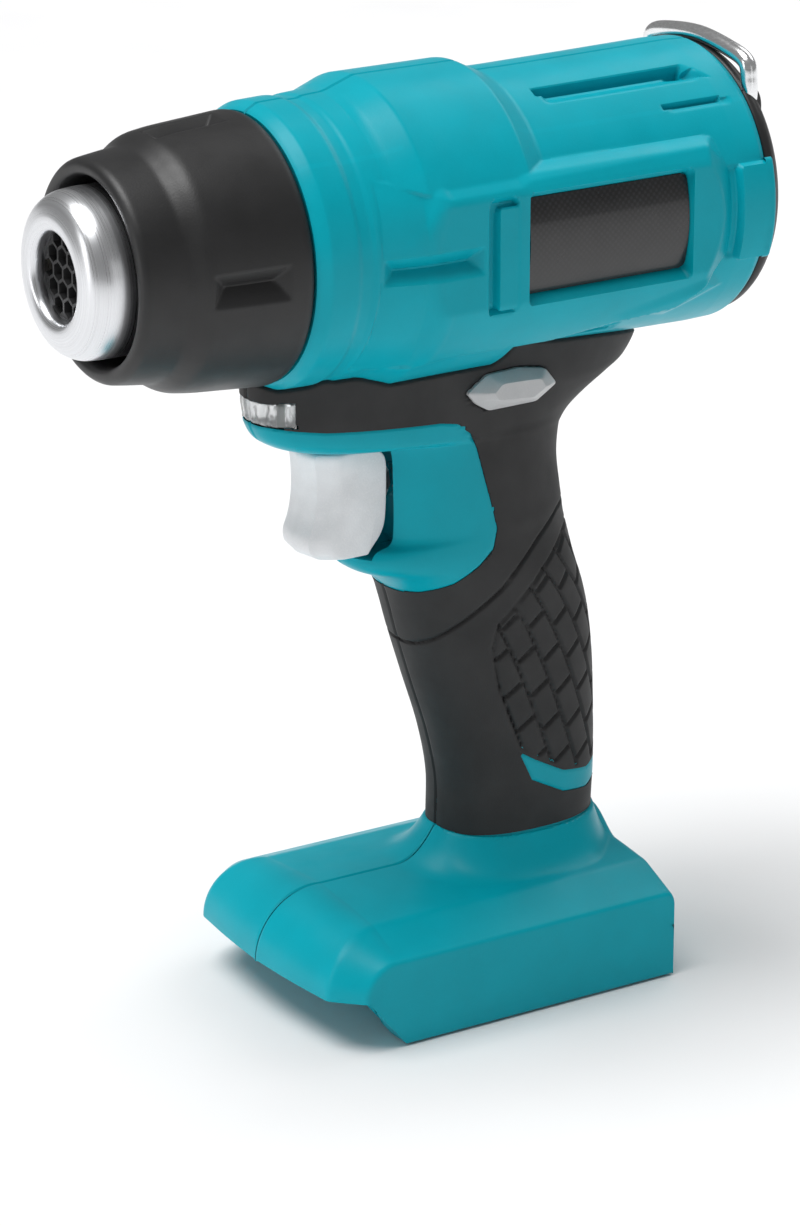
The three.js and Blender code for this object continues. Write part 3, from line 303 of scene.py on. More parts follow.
# ---------- materials ----------
class Nodes:
    """Builds one procedural material on the Principled shader."""

    def __init__(self, name, roughness, metallic=0.0, **sockets):
        self.material = bpy.data.materials.new(name)
        self.material.use_nodes = True
        self.tree = self.material.node_tree
        self.shader = self.tree.nodes["Principled BSDF"]
        self.shader.inputs["Metallic"].default_value = metallic
        self.shader.inputs["Roughness"].default_value = roughness
        for key, value in sockets.items():
            self.shader.inputs[key.replace("_", " ")].default_value = value
        self.place = self.add("ShaderNodeTexCoord").outputs["Object"]
        self.bump_link = None

    def add(self, kind, **settings):
        node = self.tree.nodes.new(kind)
        for key, value in settings.items():
            setattr(node, key, value)
        return node

    def link(self, a, b):
        self.tree.links.new(a, b)

    def stretched(self, scale):
        """The object's own coordinates, scaled along each axis."""
        node = self.add("ShaderNodeMapping")
        node.inputs["Scale"].default_value = scale
        self.link(self.place, node.inputs["Vector"])
        return node.outputs["Vector"]

    def noise(self, size, detail=3.0, roughness=0.55, vector=None):
        """Noise whose lumps are about size millimetres across."""
        node = self.add("ShaderNodeTexNoise")
        node.inputs["Scale"].default_value = 1 / (size * MM)
        node.inputs["Detail"].default_value = detail
        node.inputs["Roughness"].default_value = roughness
        self.link(vector or self.place, node.inputs["Vector"])
        return node.outputs["Fac"]

    def cells(self, size, vector=None):
        node = self.add("ShaderNodeTexVoronoi")
        node.inputs["Scale"].default_value = 1 / (size * MM)
        self.link(vector or self.place, node.inputs["Vector"])
        return node.outputs["Distance"]

    def spread(self, value, low, high, start=0.3, end=0.7):
        """Maps a noise value onto low..high."""
        node = self.add("ShaderNodeMapRange")
        for key, number in (("From Min", start), ("From Max", end), ("To Min", low), ("To Max", high)):
            node.inputs[key].default_value = number
        self.link(value, node.inputs["Value"])
        return node.outputs["Result"]

    def math(self, operation, a, b):
        node = self.add("ShaderNodeMath", operation=operation)
        for socket, value in zip(node.inputs, (a, b)):
            if isinstance(value, (int, float)):
                socket.default_value = value
            else:
                self.link(value, socket)
        return node.outputs[0]

    def blend(self, factor, a, b):
        node = self.add("ShaderNodeMix", data_type="RGBA")
        self.link(factor, node.inputs["Factor"])
        for socket, value in ((node.inputs[6], a), (node.inputs[7], b)):
            if isinstance(value, tuple):
                socket.default_value = (*value, 1)
            else:
                self.link(value, socket)
        return node.outputs[2]

    def worn(self, colour, edge_colour, amount=0.5):
        """Lightens the edges where handling has rubbed them."""
        pointy = self.add("ShaderNodeNewGeometry").outputs["Pointiness"]
        edge = self.spread(pointy, 0, amount, 0.53, 0.6)
        return self.blend(self.math("MULTIPLY", edge, self.noise(3)), colour, edge_colour)

    def bump(self, height, strength, distance):
        """Adds a layer of bump; distance is the height in millimetres."""
        node = self.add("ShaderNodeBump")
        node.inputs["Strength"].default_value = strength
        node.inputs["Distance"].default_value = distance * MM
        self.link(height, node.inputs["Height"])
        if self.bump_link:
            self.link(self.bump_link, node.inputs["Normal"])
        self.bump_link = node.outputs["Normal"]

    def finish(self, colour, roughness=None):
        self.link(colour, self.shader.inputs["Base Color"])
        if roughness:
            self.link(roughness, self.shader.inputs["Roughness"])
        if self.bump_link:
            self.link(self.bump_link, self.shader.inputs["Normal"])
        return self.material


def shade(colour, factor):
    return tuple(min(1, c * factor) for c in colour)


def moulded(name, colour, roughness=0.42, grain=0.5, depth=0.05, speckle=0.1, wear=1.25, **sockets):
    """Moulded plastic: fine spark-eroded grain, a little mottling, edges rubbed lighter."""
    m = Nodes(name, roughness, **sockets)
    mottle = m.spread(m.noise(14, 4), 0, 1)
    base = m.blend(mottle, shade(colour, 1 - speckle), shade(colour, 1 + speckle))
    fine = m.noise(grain * 0.7, 2)
    base = m.blend(m.spread(fine, 0, 0.35, 0.5, 0.75), base, shade(colour, 1 + 2.5 * speckle))
    rough = m.spread(m.noise(9, 5), roughness - 0.05, roughness + 0.07)
    m.bump(m.noise(grain, 3), 0.5, depth)
    m.bump(m.noise(22, 2), 0.12, 0.15)
    return m.finish(m.worn(base, shade(colour, wear)), rough)


def metal(name, colour, roughness, turned=True, scratch=0.06):
    """Bare metal with lines left by turning, or with long fine scratches."""
    m = Nodes(name, roughness, metallic=1.0)
    if turned:
        parts = m.add("ShaderNodeSeparateXYZ")
        m.link(m.place, parts.inputs[0])
        x, y, z = parts.outputs
        rise = m.math("SUBTRACT", z, AXIS * MM)
        radius = m.math("SQRT", m.math("ADD", m.math("MULTIPLY", x, x), m.math("MULTIPLY", rise, rise)), 0.5)
        joint = m.add("ShaderNodeCombineXYZ")
        m.link(radius, joint.inputs[0])
        m.link(y, joint.inputs[1])
        lines = m.noise(0.35, 4, 0.7, joint.outputs[0])
    else:
        lines = m.noise(1.2, 5, 0.7, m.stretched((1, 0.15, 4)))
    base = m.blend(m.spread(lines, 0, 1), shade(colour, 0.86), shade(colour, 1.06))
    rough = m.spread(lines, roughness - scratch, roughness + scratch)
    m.bump(lines, 0.25, 0.02)
    m.bump(m.noise(18, 2), 0.08, 0.1)
    return m.finish(base, rough)


TEAL = (0.0, 0.37, 0.46)


def woven_label():
    """Black plate printed with a fine diagonal weave, darker towards its lower edge."""
    m = Nodes("printed_weave", 0.3, Coat_Weight=0.5, Coat_Roughness=0.1)
    parts = m.add("ShaderNodeSeparateXYZ")
    m.link(m.stretched((1 / MM,) * 3), parts.inputs[0])
    _, y, z = parts.outputs
    pitch = 0.8
    along = m.math("SINE", m.math("MULTIPLY", y, math.pi / pitch), 0)
    up = m.math("SINE", m.math("MULTIPLY", z, math.pi / pitch), 0)
    weave = m.spread(m.math("MULTIPLY", along, up), 0, 1, -0.2, 0.7)
    height = m.spread(z, 0, 1, AXIS - 13, AXIS + 10)
    bright = m.blend(height, (0.002, 0.002, 0.0025), (0.016, 0.016, 0.018))
    colour = m.blend(weave, (0.003, 0.003, 0.0035), bright)
    rough = m.spread(m.noise(6, 4), 0.27, 0.4)
    m.bump(weave, 0.3, 0.03)
    return m.finish(colour, rough)


def clear_lens():
    m = Nodes("clear_lens", 0.05, Transmission_Weight=0.82, IOR=1.49, Coat_Weight=0.3)
    haze = m.blend(m.spread(m.noise(3, 4), 0, 1), (0.86, 0.89, 0.9), (0.97, 0.98, 0.98))
    m.bump(m.cells(2.2), 0.35, 0.3)
    return m.finish(haze, m.spread(m.noise(2, 3), 0.03, 0.12))


def circuit():
    m = Nodes("circuit_board", 0.4)
    tracks = m.spread(m.cells(3.0), 0, 1, 0.2, 0.45)
    m.bump(tracks, 0.4, 0.05)
    return m.finish(m.blend(tracks, (0.01, 0.13, 0.05), (0.02, 0.2, 0.07)), m.spread(m.noise(4), 0.3, 0.5))


PLASTICS = [  # name, colour, roughness, then grain, depth, speckle and wear where they aren't the usual ones
    ("soft_grip", (0.013, 0.013, 0.0135), 0.6, 0.4, 0.05, 0.12, 1.5),
    ("dark_plastic", (0.011, 0.011, 0.0115), 0.44, 0.45, 0.06, 0.14, 1.5),
    ("black_ceramic", (0.02, 0.02, 0.021), 0.55, 0.3, 0.04),
    ("mica", (0.42, 0.32, 0.16), 0.6, 1.2, 0.05, 0.2),
    ("ceramic", (0.6, 0.56, 0.48), 0.7, 0.4),
    ("grey_plastic", (0.24, 0.25, 0.26), 0.45),
    ("lock_plastic", (0.55, 0.55, 0.555), 0.42, 0.4, 0.04, 0.08),
    ("trigger_plastic", (0.84, 0.86, 0.88), 0.42, 0.55, 0.1, 0.09),
    ("black_plastic", (0.012, 0.012, 0.013), 0.4),
    ("red_lead", (0.45, 0.02, 0.015), 0.4, 0.8),
    ("black_lead", (0.015, 0.015, 0.015), 0.4, 0.8),
]
METALS = [  # name, colour, roughness, turned on a lathe, scratches
    ("screws", (0.1, 0.1, 0.11), 0.38, False),
    ("outlet_steel", (0.78, 0.79, 0.81), 0.3, True),
    ("heater_wire", (0.25, 0.24, 0.24), 0.45, False),
    ("bright_steel", (0.92, 0.93, 0.94), 0.2, False, 0.04),
    ("aluminium", (0.7, 0.71, 0.72), 0.35, False),
    ("brass", (0.72, 0.5, 0.2), 0.3, False),
]
MATERIALS = {
    "teal_shell": moulded("teal_shell", TEAL, 0.34, 0.45, 0.035, 0.05, 1.15, Specular_IOR_Level=0.18),
    "nameplate": woven_label(),
    "lens": clear_lens(),
    "circuit_board": circuit(),
    **{spec[0]: moulded(*spec) for spec in PLASTICS},
    **{spec[0]: metal(*spec) for spec in METALS},
}


def piece(name, shape, node, slot, body="frame", sharp=32, material=None):
    points, faces = shape
    return add_mesh(name, points, faces, material or MATERIALS[slot], body, node, sharp)


# ---------- clamshell barrel ----------
BARREL = [  # y and radius
    (-43, 31.3), (BODY_FRONT, 31.6), (-41, 32.2), (-38.4, 33.6), (-31.6, 33.8), (-30.4, 33.25),
    (-27.8, 33.25), (-26.6, 33.7), (-21.3, 34.0), (28, 33.8), (51, 34.1), (74, 34.5), (80.4, 34.3),
    (BODY_REAR, 33.2), (84, 31),
]
BAND = [(-60, 0), (-21.3, 33.9), (-12.8, 36.9), (14.6, 36.9), (21, 33.7), (60, 0)]
PANEL = [
    (-25, 20.2), (-8.1, 13), (11.5, 13.3), (14, 14.4), (64.3, 15.6), (70, 12), (70, -11), (57, -20),
    (24, -24.5), (-4, -24.1), (-20.3, -27.9), (-27, -28),
]
PANEL_FACE = 35.7  # x of the panel's flat middle
PANEL_EDGE = [(-30, 36.6), (-24, 37.4), (-13, 37.9), (13, 37.9), (16, 37.6), (20.4, 34.2), (24, 33.0)]
LABEL = ((13.3, -12.4), (58.7, 11.6))
LABEL_FLOOR = 33.9
GROOVE = ((2.3, -13.5), (9.9, 11.7))
BAR = ((5.0, -13.0), (10.3, 10.0))
NOTCH = {"y": (-25, 1), "top": 2.3, "bottom": -4.2, "root": -1.0, "depth": 3.0}
TAB = ((73, -12.2), (90, 11))
BARREL_SCREWS = [(-32.5, 27.8), (66, 27.8)]  # y and height over the axis
HOLLOW = ((69.8, -12), (74, 11.4))
HOLLOW_DEPTH = 0.7
BUMPER = 36.0  # radius of the raised rear bumper
FACET = [(38, -19.5), (66, -13), (73, -19), (60, -27), (44, -25)]
GROOVE_DEPTH = 2.1
WEDGE = [(62, 61), (76, 56.5), (70, 67), (66, 67)]  # hollow behind the long slot, y and angle
VENTS = ((-51.5, -48.3), (-58.5, -55.3))  # angles of the two slots under each side
TOP_SLOT = {"low": 62.6, "high": 66.4, "depth": 3.0, "lip": 6.5}
SMALL_SLOT = {"low": 45.6, "high": 47.6, "depth": 1.6, "lip": 2.6, "lip_depth": 0.5}
WELL = 3.4  # radius of the holes that the screw heads sit in
SNAP = 0.36  # how far a grid point moves to reach a border


def hip_notch(y, h, spec):
    """Depth of a V-shaped notch with sloped ends, at height h beside its root line."""
    run = 3.6
    above = (spec["top"] - h) / (spec["top"] - spec["root"])
    below = (h - spec["bottom"]) / (spec["root"] - spec["bottom"])
    ends = np.minimum(y - spec["y"][0], spec["y"][1] - y) / run
    return spec["depth"] * np.clip(np.minimum(np.minimum(above, below), ends), 0, 1)


def side_slot(y, angle, y0, y1, low, high, depth, lip=0.0, lip_depth=1.4):
    """A slot along the barrel between two angles, with a sloping lip below it."""
    across = np.radians(np.maximum(low - angle, angle - high)) * NOMINAL
    along = np.maximum(y0 - y, y - y1)
    d = np.maximum(across, along)
    deep = depth * smoothstep((0.3 - d) / 0.6)
    if not lip:
        return deep
    share = np.clip((angle - (low - lip)) / lip, 0, 1) * (angle <= low + 1)
    inner = np.clip(np.minimum(y - y0 - 0.6, y1 + 3.5 - y) / 2.5, 0, 1)
    sloping = lip_depth * smoothstep(share * 1.15) * smoothstep(inner)
    return np.maximum(deep, sloping * (angle > low - lip))


def panel_radius(y, h, turn):
    """Radius of the flat-faced panel on each side."""
    panel = soft_min(PANEL_FACE / np.maximum(np.cos(turn), 0.4), np.interp(h, *zip(*PANEL_EDGE)), 0.35)
    panel = soft_min(panel, np.interp(y, [-27, -14, -6], [33.2, 35.7, 40]), 1.5)
    return soft_min(panel, np.interp(y, [60, 65, 70.5], [40, 37.2, 34.2]), 0.6)


def slots_depth(angle, y, side):
    """Depth of the slots along the barrel; a screw stands behind the long one on the right half."""
    depth = side_slot(y, angle, 27.6, 69 if side > 0 else 58, **TOP_SLOT)
    if side > 0:
        depth = depth + 1.3 * smoothstep(-polygon_distance(WEDGE, y, angle) / 2.5)
        depth = depth + side_slot(y, angle, 58, 74, **SMALL_SLOT)
    for low, high in VENTS:
        depth = depth + side_slot(y, angle, 19, 48, low - 1.1, high + 1.1, 0.35)
        depth = depth + side_slot(y, angle, 20.5, 46.5, low, high, 2.2)
    return depth


def barrel_radius(angle, y, side):
    """Radius of the barrel; angle is in degrees, 90 at the top, 0 at the side and -90 below."""
    turn = np.radians(angle)
    h = 35 * np.sin(turn)
    fine = np.linspace(-44, 85, 1300)
    kernel = np.ones(7) / 7
    base = np.interp(y, fine, np.convolve(np.interp(fine, *zip(*BARREL)), kernel, "same"))
    band = np.interp(y, fine, np.convolve(np.interp(fine, *zip(*BAND)), kernel, "same"))
    d = polygon_distance(PANEL, y, h)
    panel = panel_radius(y, h, turn)
    slope = np.where(h > 0, 0.35, 1.2)
    outside = soft_max(soft_max(base, band, 0.8), panel - slope * np.maximum(d, 0), 0.25)
    r = lerp(outside, panel, smoothstep(-d / 0.5))

    # shallow hollow and raised bumper at the rear of each side
    tab = rounded_box_distance(*TAB, 1.5, y, h)
    hollow = rounded_box_distance(*HOLLOW, 1, y, h)
    r = r - HOLLOW_DEPTH * smoothstep(-hollow / 1.4)
    r = lerp(r, BUMPER, smoothstep((0.5 - tab) / 1.1))

    # facets of the lower rear corner
    facet = polygon_distance(FACET, y, h)
    r = r + 1.1 * smoothstep(-facet / 3) * np.clip((y - 38) / 24, 0, 1)

    label = rounded_box_distance(*LABEL, 1.2, y, h)
    r = lerp(r, LABEL_FLOOR, smoothstep((0.35 - label) / 0.7))
    groove = rounded_box_distance(*GROOVE, 1.4, y, h)
    bar = rounded_box_distance(*BAR, 0.8, y, h)
    floor = smoothstep((0.3 - groove) / 0.6) * smoothstep((bar + 0.2) / 0.9)
    r = r - GROOVE_DEPTH * floor - 0.25 * smoothstep((0.3 - bar) / 0.6)
    r = r - hip_notch(y, h, NOTCH)

    r = r - slots_depth(angle, y, side)
    seam = np.radians(np.minimum(90 - angle, 90 + angle)) * NOMINAL
    r = r - 0.5 * np.clip(1 - (seam - PARTING) / 0.45, 0, 1)
    return r


def snapped_wells(points, centres, side, floor):
    """Sinks round screw holes into a grid: edge points move onto the circle, inner points to the floor."""
    for y, z in centres:
        dy, dz = points[..., 1] - y, points[..., 2] - z
        reach = np.hypot(dy, dz)
        outside = points[..., 0] * side > 1
        rim = (reach > WELL - SNAP) & (reach < WELL + SNAP) & outside
        inner = (reach <= WELL - SNAP) & outside
        share = WELL / np.maximum(reach, 1e-6)
        points[..., 1] = np.where(rim, y + dy * share, points[..., 1])
        points[..., 2] = np.where(rim, z + dz * share, points[..., 2])
        points[..., 0] = np.where(inner, floor * side, points[..., 0])
    return points


def barrel_half(side):
    y = spaced([(-41.5, 0.4), (-26, 0.42), (3, 0.3), (14.5, 0.45), (57, 0.4), (82, 1)])
    angle = spaced([(89.75, 0.35), (88.6, 0.8), (70, 0.55), (42, 0.72), (-62, 1.2), (-89.75, 1)])
    grid_y, grid_angle = np.meshgrid(y, angle, indexing="ij")
    r = barrel_radius(grid_angle, grid_y, side)
    turn = np.radians(grid_angle)
    points = np.stack([side * r * np.cos(turn), grid_y, AXIS + r * np.sin(turn)], -1)
    if side < 0:
        points = snapped_wells(points, [(sy, AXIS + sz) for sy, sz in BARREL_SCREWS], side, 9.5)
    rims = []
    for inner_y, inner_r in ((-40.8, 28.2), (81.6, 31.0)):
        round_turn = np.radians(angle)
        rims.append(np.stack([side * inner_r * np.cos(round_turn), np.full(len(angle), inner_y),
                              AXIS + inner_r * np.sin(round_turn)], -1)[None])
    points = np.concatenate([rims[0], points, rims[1]])
    return surface(points)


def rear_bumper(side):
    """The end of the side bumper that stands behind the barrel's rear edge."""
    y = fillet([(80.5, BUMPER), (82.8, BUMPER), (82.8, 33.9), (81.5, 33.6)], [0, 0.9, 0.6, 0], 5)
    turn = np.radians(spaced([(-20.6, 0.8), (19.6, 1)]))
    edge = np.clip(np.minimum(turn - turn[0], turn[-1] - turn) * 35 / 0.7, 0, 1)
    r = y[:, 1:] - 0.5 * (1 - smoothstep(edge)) * (y[:, 1:] > 34)
    points = np.stack([side * r * np.cos(turn), y[:, :1] + 0 * turn, AXIS + r * np.sin(turn)], -1)
    sides = [(points[:, j], [list(range(len(y)))]) for j in (0, -1)]
    return joined(surface(points), *sides)


# ---------- grip ----------
def below(d):
    return SADDLE - d


def above(d):
    return FOOT_TOP + d


STATIONS = [  # front y, z; rear y, z; half width
    (10.6, above(-8), 53.2, above(-8), 14.4), (10.2, above(7.5), 53.4, above(7.5), 14.6),
    (10.2, above(20), 53.8, above(19), 14.9), (7.6, above(33), 53.6, above(33), 15.3),
    (2.9, above(47.5), 52.9, above(48), 15.9), (-1.2, below(68), 51.4, below(69), 16.4),
    (-3.4, below(60), 49.4, below(61), 16.8), (-5.4, below(54.5), 47.6, below(56), 17),
    (-9.6, below(51), 46.4, below(52), 17), (-15, below(48.6), 45.4, below(48), 17),
    (-17.4, below(46), 44.6, below(45), 17), (-16.4, below(43.2), 43.8, below(42), 16.9),
    (-12.2, below(41.6), 43.2, below(38.5), 16.8), (-11.2, below(38), 42.6, below(35), 16.7),
    (-11.2, below(28), 41.6, below(27), 16.5), (-12, below(18), 42.1, below(20.5), 16.5),
    (-16, below(16.4), 43.2, below(18), 16.6), (-30, below(16.2), 46.4, below(15), 16.8),
    (-38, below(13.6), 51.6, below(11.6), 17), (-41.2, below(9), 57.6, below(8.2), 17.2),
    (-42, below(4), 62.2, below(5), 17.5), (-42, below(-4), 65.6, below(-1.5), 17.9),
    (-41, below(-12), 66, below(-12), 18),
]
ROUNDNESS = 2.4  # exponent of the grip's rounded sections
SKIN = 1.6
WINDOW = [
    (-60, below(9.6)), (-40, below(8.2)), (-28, below(9.6)), (1, below(11)), (6, below(12)), (9.4, below(15)),
    (11.4, below(19)), (15.4, below(33)), (17.2, below(40)), (16, below(45)), (12, below(48.6)),
    (5.6, below(52.4)), (-1.4, below(54.6)), (-8, below(55)), (-60, below(54)),
]
HEEL = [
    (24.9, above(29)), (29, above(20.5)), (38.6, above(15.4)), (47.2, above(14.1)), (60, above(17)),
    (60, above(23)), (46.8, above(19.6)), (38.5, above(21.2)), (30, above(25.8)),
]
POCKET = {"half": 9.7, "low": below(44.3), "high": below(16.7), "rear": -1.2}
OVERMOULD = [
    (-17, 93), (-2, 88), (0, 88.7), (3.5, 91), (6.3, 93.3), (11.8, 97.4), (18.4, 102.3), (24.5, 108.3),
    (29.6, 112.9), (37.1, 118.3), (60, 124),
]
TREAD = [
    (39.8, 112.3), (30.5, 105), (23, 97.5), (18.1, 93.1), (16.9, 86.8), (19, 76.7), (22.2, 68.4),
    (26.2, 58.8), (30, 55.8), (38.5, 51.2), (46.8, 49.6), (60, 53), (60, 117), (46, 115),
]
GRIP_SCREWS = [(-22, below(1)), (56, below(-1.5)), (31, below(60)), (9.5, below(50)), (20.5, above(17))]
LAMP = {"middle": 152.8, "half_height": 3.4, "half_width": 10.4}
CROWN = [  # the slanted ridge of the lock button
    (13.6, below(6.4)), (25.2, below(7.4)), (28.6, below(4.6)), (26.4, below(2.8)), (16.4, below(2.2)),
    (12.2, below(3.4)),
]
LOCK = [
    (7.5, below(4.6)), (10, below(7.6)), (13.4, below(9.6)), (26.8, below(9.4)), (32.5, below(5.8)),
    (29.4, below(1.8)), (22, below(0.4)), (13, below(0.8)),
]


def grip_rows():
    """Fine rows between the stations, as front, rear and half width."""
    fine = smooth_line(STATIONS, 40)
    travel = np.maximum(*[np.linalg.norm(np.diff(fine[:, k:k + 2], axis=0), axis=1) for k in (0, 2)])
    length = np.concatenate([[0], np.cumsum(travel)])
    place = np.linspace(0, length[-1], round(length[-1] / 0.44))
    return np.column_stack([np.interp(place, length, fine[:, k]) for k in range(5)])


def hard_distance(y, z):
    """Distance outside the places where the hard shell shows, negative inside them."""
    shown = np.minimum(polygon_distance(WINDOW, y, z), polygon_distance(HEEL, y, z))
    return np.minimum(shown, z - SKIN_FOOT)


def snapped(distance, target, y, z, where):
    """Moves grid points that lie beside the line distance = target onto it, for a crisp border."""
    nudge = 0.02
    d = distance(y, z)
    dy = (distance(y + nudge, z) - d) / nudge
    dz = (distance(y, z + nudge) - d) / nudge
    move = np.where((np.abs(d - target) < SNAP) & where, target - d, 0)
    move = move / np.maximum(dy ** 2 + dz ** 2, 0.25)
    return y + move * dy, z + move * dz


def tread_depth(u, v):
    """Grooves of the slanted brick pattern; u runs round the grip and v up it."""
    lean = u - 0.37 * v
    column_pitch, row_pitch, half_width = 7.2, 12, 0.62
    column = lean / column_pitch
    across = np.abs(column - np.round(column)) * column_pitch * 0.94
    row = (v + 0.7 * u) / row_pitch + 0.5 * (np.floor(column) % 2)
    along = np.abs(row - np.round(row)) * row_pitch * 0.82
    return np.clip(1 - np.minimum(across, along) / half_width, 0, 1) ** 0.7


def skin_depth(side, x, y, z, from_rear, on_side, to_hard, clearance):
    """How far the soft skin is sunk at its borders, lines, tread grooves and the lock's hole."""
    soft_edge = 1 - smoothstep((to_hard + 0.1) / 0.4)
    depth = SKIN * np.where(on_side, to_hard < -0.05, soft_edge)
    depth = depth + 0.8 * np.clip(1 - line_distance(OVERMOULD, y, z) / 0.6, 0, 1)
    tread = polygon_distance(TREAD, y, z)
    clear = smoothstep((to_hard - 0.8) / 0.6)
    depth = depth + 0.8 * tread_depth(from_rear, z) * (tread < 0) * clear
    depth = depth + 0.6 * np.clip(1 - np.abs(tread) / 0.75, 0, 1) * (y < 44) * clear
    depth = depth + 1.0 * np.clip(1 - clearance / 0.8, 0, 1)
    sunk = 0.6 if side > 0 else 1.9  # the button's far end lies below the surface
    return depth + sunk * (polygon_distance(LOCK, y, z) < 0.45) * (x > 8)


def grip_surface(side, soft):
    rows = grip_rows()
    share = np.concatenate([np.linspace(0, 0.42, 62, endpoint=False), np.linspace(0.42, 1, 118)])
    turn = math.pi * share
    power = lambda v: np.sign(v) * np.abs(v) ** (2 / ROUNDNESS)
    along, across = power(np.cos(turn)), power(np.sin(turn))
    fy, fz, ry, rz, half = [rows[:, k:k + 1] for k in range(5)]
    x = np.maximum(half * across, PARTING)
    y = (fy + ry) / 2 + (fy - ry) / 2 * along
    z = (fz + rz) / 2 + (fz - rz) / 2 * along
    x, y, z = np.broadcast_arrays(x, y, z)
    step = np.hypot(np.diff(x, axis=1), np.diff(y, axis=1))
    from_rear = np.cumsum(step[:, ::-1], axis=1)[:, ::-1]
    from_rear = np.hstack([from_rear, np.zeros((len(rows), 1))])

    # outward direction in the section
    ty, tx = np.gradient(y, axis=1), np.gradient(x, axis=1)
    size = np.hypot(tx, ty) + 1e-9
    ny, nx = -tx / size, ty / size
    on_side = np.abs(nx) > 0.5
    y, z = snapped(hard_distance, 0, y, z, on_side)
    if soft:
        y, z = snapped(lambda v, w: polygon_distance(LOCK, v, w), 0.5, y, z, on_side)
    to_hard = hard_distance(y, z)
    clearance = np.hypot(x, z - AXIS) - barrel_radius(
        np.degrees(np.arctan2(z - AXIS, x)), np.clip(y, BODY_FRONT, BODY_REAR), side)
    seam = np.abs(x) - PARTING
    depth = 0.45 * np.clip(1 - seam / 0.4, 0, 1)
    if soft:
        depth = depth + skin_depth(side, x, y, z, from_rear, on_side, to_hard, clearance)
        keep = (to_hard > -0.8) & (clearance > -2.5)
    else:
        depth = depth + 0.3 * smoothstep((to_hard + 0.6) / 0.5)
        keep = (to_hard < 0.9) & (clearance > -2.5)
    lamp = (y < -34) & (np.abs(z - LAMP["middle"]) < LAMP["half_height"]) & (x < LAMP["half_width"] + 0.3)
    keep &= ~lamp
    x, y = np.maximum(x - nx * depth, PARTING), y - ny * depth
    points = np.stack([side * x, y, z], -1)
    if not soft:
        points = with_trigger_pocket(points)
    if side < 0:
        points = snapped_wells(points, GRIP_SCREWS, side, 6.5)
    return used_only(points.reshape(-1, 3), grid_faces(*points.shape[:2], keep=keep))


def with_trigger_pocket(points):
    """Sinks the front of the hard shell behind the trigger, with square walls."""
    p = POCKET
    for row in range(points.shape[0]):
        front = points[row, 0]
        if not (p["low"] < front[2] < p["high"]) or front[1] > 0:
            continue
        x = np.abs(points[row, :, 0])
        early = np.arange(len(x)) < len(x) * 0.5
        edge = int(np.argmin(np.where(early, np.abs(x - p["half"]), 99)))
        side = np.sign(points[row, edge, 0])
        points[row, edge, 0] = side * p["half"]
        points[row, edge - 1, 0] = side * (p["half"] - 0.05)
        points[row, :edge, 1] = p["rear"]
        points[row, :edge, 2] = front[2]
    return points


# ---------- foot ----------
ROLL = (-23.0, 13.0)  # y and z of the axis that the front rolls down about
FOOT_REAR = 56.8
SHOULDER = 22.0
RING_COUNT = 114  # points of one half ring of the foot


def foot_ring(share):
    """Half outline of the foot as [x, height above the roll axis], from the side to the seam."""
    ridge = HALF_FOOT - 12 + 5 * share
    return fillet([
        (HALF_FOOT, 0), (HALF_FOOT, SHOULDER - ROLL[1]), (ridge, 14.1 + 1.9 * share),
        (ridge / 2, 15.4 + 2.2 * share), (PARTING, 16.2 + 2.1 * share),
    ], [0, 1.0, 1.2, 6, 0], 9)


def flare(x, y, z):
    """Raises the foot's top into the skirt round the grip."""
    out = (np.abs(x / 15.4) ** ROUNDNESS + np.abs((y - 31.8) / 22) ** ROUNDNESS) ** (1 / ROUNDNESS)
    d = (out - 1) * 17.5
    reach = lerp(9.5, 4.2, smoothstep((y - 42) / 12))
    rise = SKIN_FOOT - 0.4 - FOOT_TOP + 1.2
    skirt = rise * np.clip(1 - d / reach, 0, 1) ** 2.3
    hidden = 7.4  # height of the part that the grip covers
    return z + skirt * (d > -1) + hidden * (d <= -1)


def foot_half(side):
    rings = []
    edge = 2.2  # rounding of the rear edge
    y_lines = spaced([(FOOT_REAR - edge, 0.5), (ROLL[0], 0.5)])
    base = resampled(foot_ring(0), RING_COUNT)
    rear_turns = np.linspace(0, math.pi / 2, 6)
    rings.append(np.column_stack([base[:, 0], np.full(len(base), FOOT_REAR), np.zeros(len(base))]))
    top = flare(base[:, 0], FOOT_REAR - edge, ROLL[1] + base[:, 1])
    for t in rear_turns[:-1]:
        drop = edge * (1 - math.sin(t))
        z = np.where(top > ROLL[1] + 0.5, top - drop, top)
        y = FOOT_REAR - edge + edge * math.cos(t)
        rings.append(np.column_stack([base[:, 0], np.full(len(base), y), z]))
    for y in y_lines:
        z = flare(base[:, 0], y, ROLL[1] + base[:, 1])
        rings.append(np.column_stack([base[:, 0], np.full(len(base), y), z]))
    for t in np.linspace(0, math.pi / 2, 60)[1:]:
        ring = resampled(foot_ring(math.sin(t)), RING_COUNT)
        rings.append(np.column_stack([ring[:, 0], ROLL[0] - ring[:, 1] * math.sin(t),
                                      ROLL[1] + ring[:, 1] * math.cos(t)]))
    rings = np.array(rings)
    seam = rings[..., 0] - PARTING
    groove = 0.45 * np.clip(1 - seam / 0.45, 0, 1)
    rings[1:, :, 2] -= groove[1:]
    rings[..., 0] *= side
    return joined(surface(rings), foot_wall(side), foot_inside(side, rings[-1]))


def front_edge(z):
    """Where the slanted front edge of the foot's side walls stands at height z."""
    return -20.7 - 10.9 * z / 13.2


